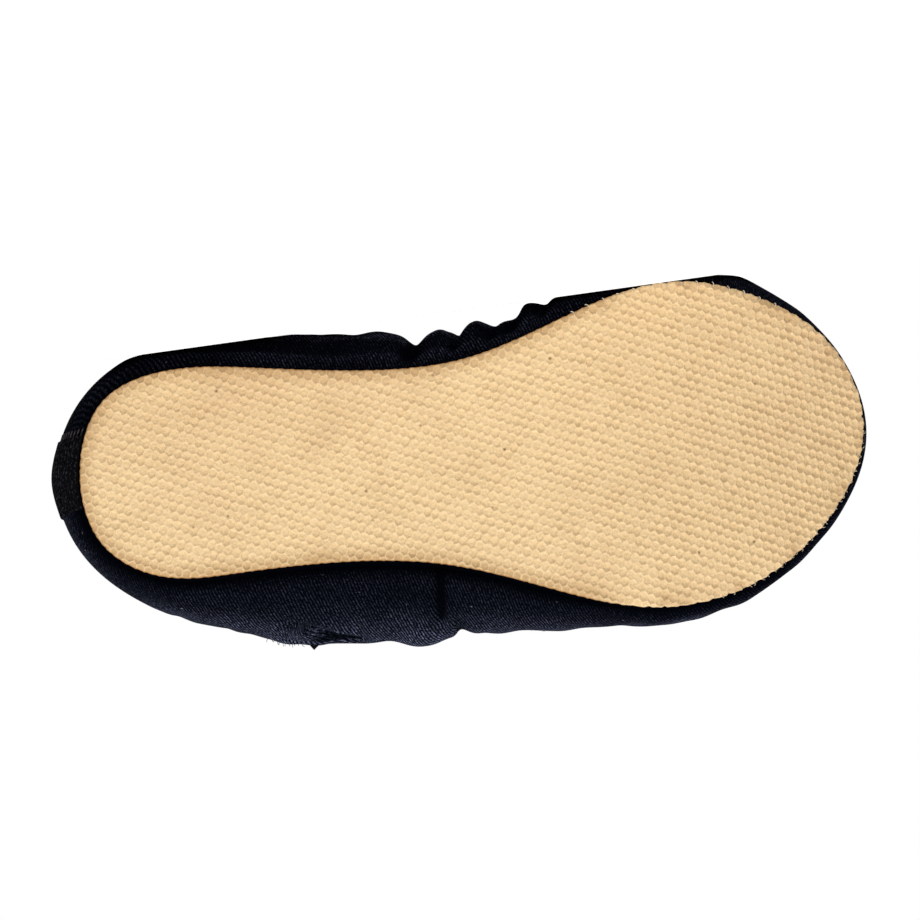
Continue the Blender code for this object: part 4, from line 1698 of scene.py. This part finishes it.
@dataclass
class HeelTape:
    """The ribbed tape over the back seam: a thin band with a cord for each rib, frayed where it was cut.

    The seam under it makes it fuller along its middle, and it leans towards the outer side as it climbs.
    """

    form: SlipperForm
    width: float = 17.6
    offset: float = -0.8
    lean: float = -1.6
    foot: float = 0.04
    top: float = 1.995
    gap: float = 0.06
    thickness: float = 0.2
    bulk: float = 0.45
    rib_pitch: float = 0.95
    rib_radius: float = 0.27
    rib_sway: float = 0.16
    frayed_ribs: int = 9
    frayed_length: float = 1.6
    frayed_radius: float = 0.16
    frayed_lift: float = 0.2
    frayed_from: float = 0.47
    columns: int = 36
    rows: int = 70

    def face(self, climbs: Array, lift: float, spread: Array, sway: Array | None = None) -> Array:
        """A face of the tape.

        Args:
            climbs: rows, as the form counts them.
            lift: height over the cloth, without the seam's bulk.
            spread: columns, from -0.5 at the outer edge to 0.5 at the inner.
            sway: how far each point is moved up the tape, by row and column, if the rows are not straight.

        Returns:
            Points by column and row.
        """
        step = 1e-3
        rows = []
        for number, climb in enumerate(climbs):
            near = np.array([climb - step, climb, min(2.0, climb + step)])
            beside = self.form.heel_share + np.array([-step, step])
            ends = self.form.outer_face(beside, near)
            speed = np.linalg.norm(ends[1, 1] - ends[0, 1]) / (2 * step)
            moved = self.offset + self.lean * smooth_step(0.0, 0.9, climb)
            cloth = self.form.outer_face(self.form.heel_share + (self.width * spread + moved) / speed, near)
            around = np.gradient(cloth[:, 1], axis=0)
            up = unit(cloth[:, 2] - cloth[:, 0])
            out = unit(np.cross(around, up))
            fullness = self.bulk * np.cos(math.pi * np.clip(spread, -0.5, 0.5)) ** 2
            row = cloth[:, 1] + out * (lift + fullness)[:, None]
            rows.append(row if sway is None else row + up * sway[number][:, None])
        return np.stack(rows, axis=1)

    def build(self) -> tuple[Object, Object, Object]:
        """Builds the band and its threads.

        Returns:
            The band, the ribs that lie on it, and the frayed ends of its lowest ribs.
        """
        climbs = np.linspace(self.foot, self.top, self.rows)
        spread = np.linspace(-0.5, 0.5, self.columns)
        upper_lift = self.gap + self.thickness
        low, high = (self.face(climbs, lift, spread) for lift in (self.gap, upper_lift))
        loop = np.concatenate([low, high[::-1]])
        points = self.form.lay(loop)
        faces = grid_faces(len(loop), self.rows, True, False)[:, ::-1].tolist()
        bottom = [column * self.rows for column in range(len(loop))]
        faces += end_faces(bottom, False)
        faces += end_faces([number + self.rows - 1 for number in bottom], True)
        band = make_piece("heel_tape_band", points.reshape(-1, 3), faces, TAPE)

        fine = np.linspace(self.foot, self.top, 400)
        spine = self.form.outer_face(np.array([self.form.heel_share]), fine)[0]
        gone = np.concatenate([[0.0], np.cumsum(np.linalg.norm(np.diff(spine, axis=0), axis=1))])
        levels = np.arange(0.6 * self.rib_pitch, gone[-1] - 0.5, self.rib_pitch)
        places = np.interp(levels, gone, fine)
        waves = np.sin(19.0 * spread[None] + 0.9 * levels[:, None])
        waves = waves + np.sin(41.0 * spread[None] - 1.7 * levels[:, None])
        paths = self.form.lay(self.face(places, upper_lift, spread, self.rib_sway * waves))
        ribs = lay_cords("heel_tape_ribs", list(paths.transpose(1, 0, 2)), self.rib_radius, RIBS_YARN)

        past = self.frayed_from + np.linspace(0, self.frayed_length / self.width + 0.5 - self.frayed_from, 5)
        strands = self.form.lay(self.face(places[: self.frayed_ribs], self.gap + self.frayed_lift, past))
        strands = list(strands.transpose(1, 0, 2))
        frayed = lay_cords("heel_tape_frayed_end", strands, self.frayed_radius, FRAYED_YARN)
        return band, ribs, frayed


@dataclass
class Insole:
    """The canvas sock that lies over the seam margin inside the shoe."""

    form: SlipperForm
    inset: float = 3.0
    thickness: float = 1.6
    stations: int = 90
    columns: int = 24
    end_trim: float = 0.06
    softness: float = 0.35

    def build(self) -> Object:
        """Builds the sock as a closed plate with softened edges.

        Returns:
            The insole.
        """
        form = self.form
        station = (1 - np.cos(np.linspace(self.end_trim, math.pi - self.end_trim, self.stations))) / 2
        outer, outer_way = form.edge(form.heel_share * (1 - station))
        inner, inner_way = form.edge(form.heel_share + (1 - form.heel_share) * station)
        near, far = inner - inner_way * self.inset, outer - outer_way * self.inset
        part = (1 - np.cos(np.linspace(0, math.pi, self.columns))) / 2
        plan = near[:, None] + (far - near)[:, None] * part[None, :, None]
        lift = form.sole_thickness + form.gap + form.wall + form.gap
        softened = self.softness * self.thickness * (np.abs(2 * part - 1) ** 24)[None]
        ends = self.softness * self.thickness * (np.abs(2 * station - 1) ** 60)[:, None]
        low = form.over_sole(plan[..., 0], plan[..., 1], lift + softened)
        high = form.over_sole(plan[..., 0], plan[..., 1], lift + self.thickness - np.maximum(softened, ends))
        loop = np.concatenate([high, low[:, ::-1]], axis=1)
        count = loop.shape[1]
        faces = grid_faces(self.stations, count, False, True).tolist()
        for place, flip in ((0, True), (self.stations - 1, False)):
            faces += end_faces([place * count + number for number in range(count)], flip)
        piece = make_piece("canvas_insole", form.lay(loop).reshape(-1, 3), faces, CANVAS)
        note_points(piece, "cloth", loop.reshape(-1, 3))
        return piece


@dataclass
class LooseThreads:
    """Thread ends and lint: stitch ends and fuzz at the sole's edge, a fringe at the pleat, curls of lint."""

    form: SlipperForm
    outsole: Outsole
    upper: Upper
    seed: int = 11
    floor_gap: float = 0.14
    stitch_ends: Pair = (113.0, 163.0)
    fuzzed: Pair = (146.0, 188.0)
    fuzz_spacing: float = 1.7
    fringe: Pair = (43.5, 54.0)
    fringe_spacing: float = 0.7
    tuft_place: Pair = (54.4, 30.5)
    tuft_width: float = 1.1
    tuft_length: float = 1.2
    lint_along: Pair = (38.0, 112.0)
    lint_climb: Pair = (4.5, 26.0)
    lint_count: int = 9
    stitch_radius: float = 0.11
    hair_radius: float = 0.06
    lint_radius: float = 0.04
    lint_lift: float = 0.12
    fuzz_inner: float = -8.0

    def build(self) -> dict[Object, Slot]:
        """Lays the threads.

        Returns:
            A piece for each kind, with the slot it belongs to.
        """
        chance = np.random.default_rng(self.seed)
        kinds = (
            ("sole_stitch_ends", self.ends_of_stitches, self.stitch_radius, PALE_THREAD, Slot.CANVAS),
            ("sole_edge_fuzz", self.fuzz, self.hair_radius, PALE_THREAD, Slot.CANVAS),
            ("pleat_fringe", self.hairs, self.hair_radius, SEWING_THREAD, Slot.TWILL),
            ("cloth_lint", self.curls, self.lint_radius, LINT, Slot.TWILL),
        )
        return {
            lay_cords(name, draw(chance), radius, yarn): slot for name, draw, radius, yarn, slot in kinds
        }

    def over_edge(self, place: Array, out: Array, reaches: Array, lifts: Array, sway: float) -> Array:
        """A path over the sole's edge.

        Args:
            place: a point of the edge, on the flat sheet.
            out: the direction straight out from it.
            reaches: how far out the path's points lie.
            lifts: how high they lie over the underside.
            sway: how far the last one lies to one side.

        Returns:
            The path in the world, clear of the floor.
        """
        along = np.array([-out[1], out[0]])
        flat = place + out * reaches[:, None] + along * (sway * np.linspace(0, 1, len(reaches)) ** 2)[:, None]
        points = self.form.lay(self.form.over_sole(self.form.plan(flat[:, 0]), flat[:, 1], lifts))
        return self.form.press(points, self.floor_gap)

    def edge_places(self) -> tuple[Array, Array, Array]:
        """The sole's edge on the flat sheet.

        Returns:
            Its points, the directions straight out from them, and how far round the sole they lie.
        """
        rim, out = self.outsole.outline()
        return rim, out, np.linspace(0, self.form.perimeter, len(rim), endpoint=False)

    def ends_of_stitches(self, chance: np.random.Generator) -> list[Array]:
        """Paths of the pale stitch ends that stand out of the seam's nicks at the inner ball.

        Args:
            chance: the source of all random draws.

        Returns:
            Paths in the world.
        """
        rim, out, gone = self.edge_places()
        paths = []
        for nick in np.arange(0.0, self.form.perimeter, self.outsole.notch_spacing):
            place = int(np.argmin(np.abs(gone - nick)))
            if self.stitch_ends[0] < rim[place, 0] < self.stitch_ends[1] and rim[place, 1] < 0:
                reach = chance.uniform(0.25, 0.7)
                reaches = np.array([-0.5, 0.0, 0.6 * reach, reach])
                lifts = np.array([0.25, -0.1, -0.05, 0.3])
                sway = chance.uniform(-0.7, -0.2)
                paths.append(self.over_edge(rim[place], out[place], reaches, lifts, sway))
        return paths

    def fuzz(self, chance: np.random.Generator) -> list[Array]:
        """Paths of the fine pale fibres along the cut edge at the outer ball and the toe.

        Args:
            chance: the source of all random draws.

        Returns:
            Paths in the world.
        """
        rim, out, gone = self.edge_places()
        paths = []
        for start in np.arange(0.0, self.form.perimeter, self.fuzz_spacing):
            place = int(np.argmin(np.abs(gone - start - chance.uniform(-0.3, 0.3))))
            if self.fuzzed[0] < rim[place, 0] < self.fuzzed[1] and rim[place, 1] > self.fuzz_inner:
                reach = chance.uniform(0.1, 0.5)
                reaches = np.array([-0.25, 0.5 * reach, reach])
                lifts = np.array([0.3, 0.15, chance.uniform(0.1, 0.8)])
                sway = chance.uniform(-0.6, 0.6)
                paths.append(self.over_edge(rim[place], out[place], reaches, lifts, sway))
        return paths

    def hairs(self, chance: np.random.Generator) -> list[Array]:
        """Paths of the dark hairs on the cloth's widest line beside the pleat, and of one longer tuft.

        Args:
            chance: the source of all random draws.

        Returns:
            Paths in the world.
        """
        toeward = self.form.turn @ np.array([1.0, 0.0, 0.0])
        paths = []
        for along in np.arange(*self.fringe, self.fringe_spacing):
            place, out = self.upper.spot(Side.OUTER, along, chance.uniform(26.0, 32.0))
            length = chance.uniform(0.2, 0.9)
            steps = np.linspace(-0.1, 1.0, 4)[:, None]
            paths.append(place + out * length * steps + toeward * chance.uniform(-0.3, 0.7) * steps**2)
        place, out = self.upper.spot(Side.OUTER, *self.tuft_place)
        for root in np.linspace(-self.tuft_width, self.tuft_width, 17):
            steps = np.linspace(-0.3, 1.0, 5)[:, None]
            paths.append(place + toeward * root * (1 - steps) + out * self.tuft_length * steps)
        return paths

    def curls(self, chance: np.random.Generator) -> list[Array]:
        """Paths of the small curls of lint caught on the cloth of the outer side.

        Args:
            chance: the source of all random draws.

        Returns:
            Paths in the world.
        """
        paths = []
        for _ in range(self.lint_count):
            along = chance.uniform(*self.lint_along)
            place, out = self.upper.spot(Side.OUTER, along, chance.uniform(*self.lint_climb))
            level = unit(np.cross(out, np.array([0.0, 0.0, 1.0])))
            rise = np.cross(level, out)
            size = chance.uniform(0.15, 0.4)
            turns = chance.uniform(0, math.tau) + np.linspace(0, chance.uniform(1.2, 3.6), 7)[:, None]
            flat = level * np.cos(turns) * size + rise * np.sin(turns) * size
            paths.append(place + flat + out * self.lint_lift)
        return paths


@dataclass
class Studio:
    """White paper floor, soft light from the front and above, and the camera at the photograph's angle."""

    form: SlipperForm
    distance: float = 6000.0
    tilt: float = 2.73
    aim: tuple[float, float, float] = (88.0, 0.0, 0.0)
    field_width: float = 213.0
    sensor: float = 36.0
    floor_half: float = 30000.0
    key_way: tuple[float, float, float] = (0.1, -0.5, 0.86)
    key_spread: float = 20.0
    key_power: float = 3.4
    sky: float = 0.25

    def build(self) -> None:
        """Sets up floor, light and camera."""
        half = self.floor_half
        corners = np.array([(-half, -half, 0.0), (half, -half, 0.0), (half, half, 0.0), (-half, half, 0.0)])
        make_piece("studio_floor", corners, [[0, 1, 2, 3]], PAPER)
        world = bpy.data.worlds.new("studio_light")
        world.use_nodes = True
        seen = add_node(world.node_tree, "ShaderNodeLightPath").outputs["Is Camera Ray"]
        strength = add_node(world.node_tree, "ShaderNodeMapRange", {0: seen, 3: self.sky, 4: 1.0})
        backdrop = world.node_tree.nodes["Background"]
        backdrop.inputs["Color"].default_value = (1.0, 1.0, 1.0, 1.0)
        world.node_tree.links.new(strength.outputs[0], backdrop.inputs["Strength"])
        scene = bpy.context.scene
        scene.world = world
        scene.view_settings.view_transform = "Standard"
        lamp = bpy.data.lights.new("key_light", "SUN")
        lamp.angle = math.radians(self.key_spread)
        lamp.energy = self.key_power
        key = bpy.data.objects.new("key_light", lamp)
        key.rotation_euler = Vector(self.key_way).to_track_quat("Z", "Y").to_euler()
        scene.collection.objects.link(key)

        lens = bpy.data.cameras.new("photo_camera")
        lens.sensor_width = self.sensor
        lens.lens = self.sensor * self.distance / self.field_width
        camera = bpy.data.objects.new("photo_camera", lens)
        tilt = math.radians(self.tilt)
        axes = np.array(
            [(1.0, 0.0, 0.0), (0.0, -math.cos(tilt), -math.sin(tilt)), (0.0, math.sin(tilt), -math.cos(tilt))]
        )
        turned = axes @ self.form.turn.T
        place = (self.form.lay(np.array(self.aim)) + turned[2] * self.distance) * MM
        matrix = Matrix([list(column) for column in turned.T]).to_4x4()
        matrix.translation = Vector(place)
        camera.matrix_world = matrix
        scene.collection.objects.link(camera)
        scene.camera = camera


def main() -> None:
    """Builds the shoe's pieces in order, then the studio."""
    logging.basicConfig(level=logging.INFO, format="%(message)s")
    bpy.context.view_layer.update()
    form = SlipperForm()
    outsole = Outsole(form)
    finish_piece(outsole.build(), Slot.RUBBER, "outsole")
    upper = Upper(form)
    finish_piece(upper.build(), Slot.TWILL, "upper")
    finish_piece(HemStitches(upper).build(), Slot.TWILL)
    band, ribs, frayed = HeelTape(form).build()
    finish_piece(band, Slot.TAPE, "heel_tape")
    finish_piece(ribs, Slot.TAPE)
    finish_piece(frayed, Slot.TAPE)
    finish_piece(Insole(form).build(), Slot.CANVAS, "insole")
    for threads, slot in LooseThreads(form, outsole, upper).build().items():
        finish_piece(threads, slot)
    Studio(form).build()


if __name__ == "__main__":
    main()
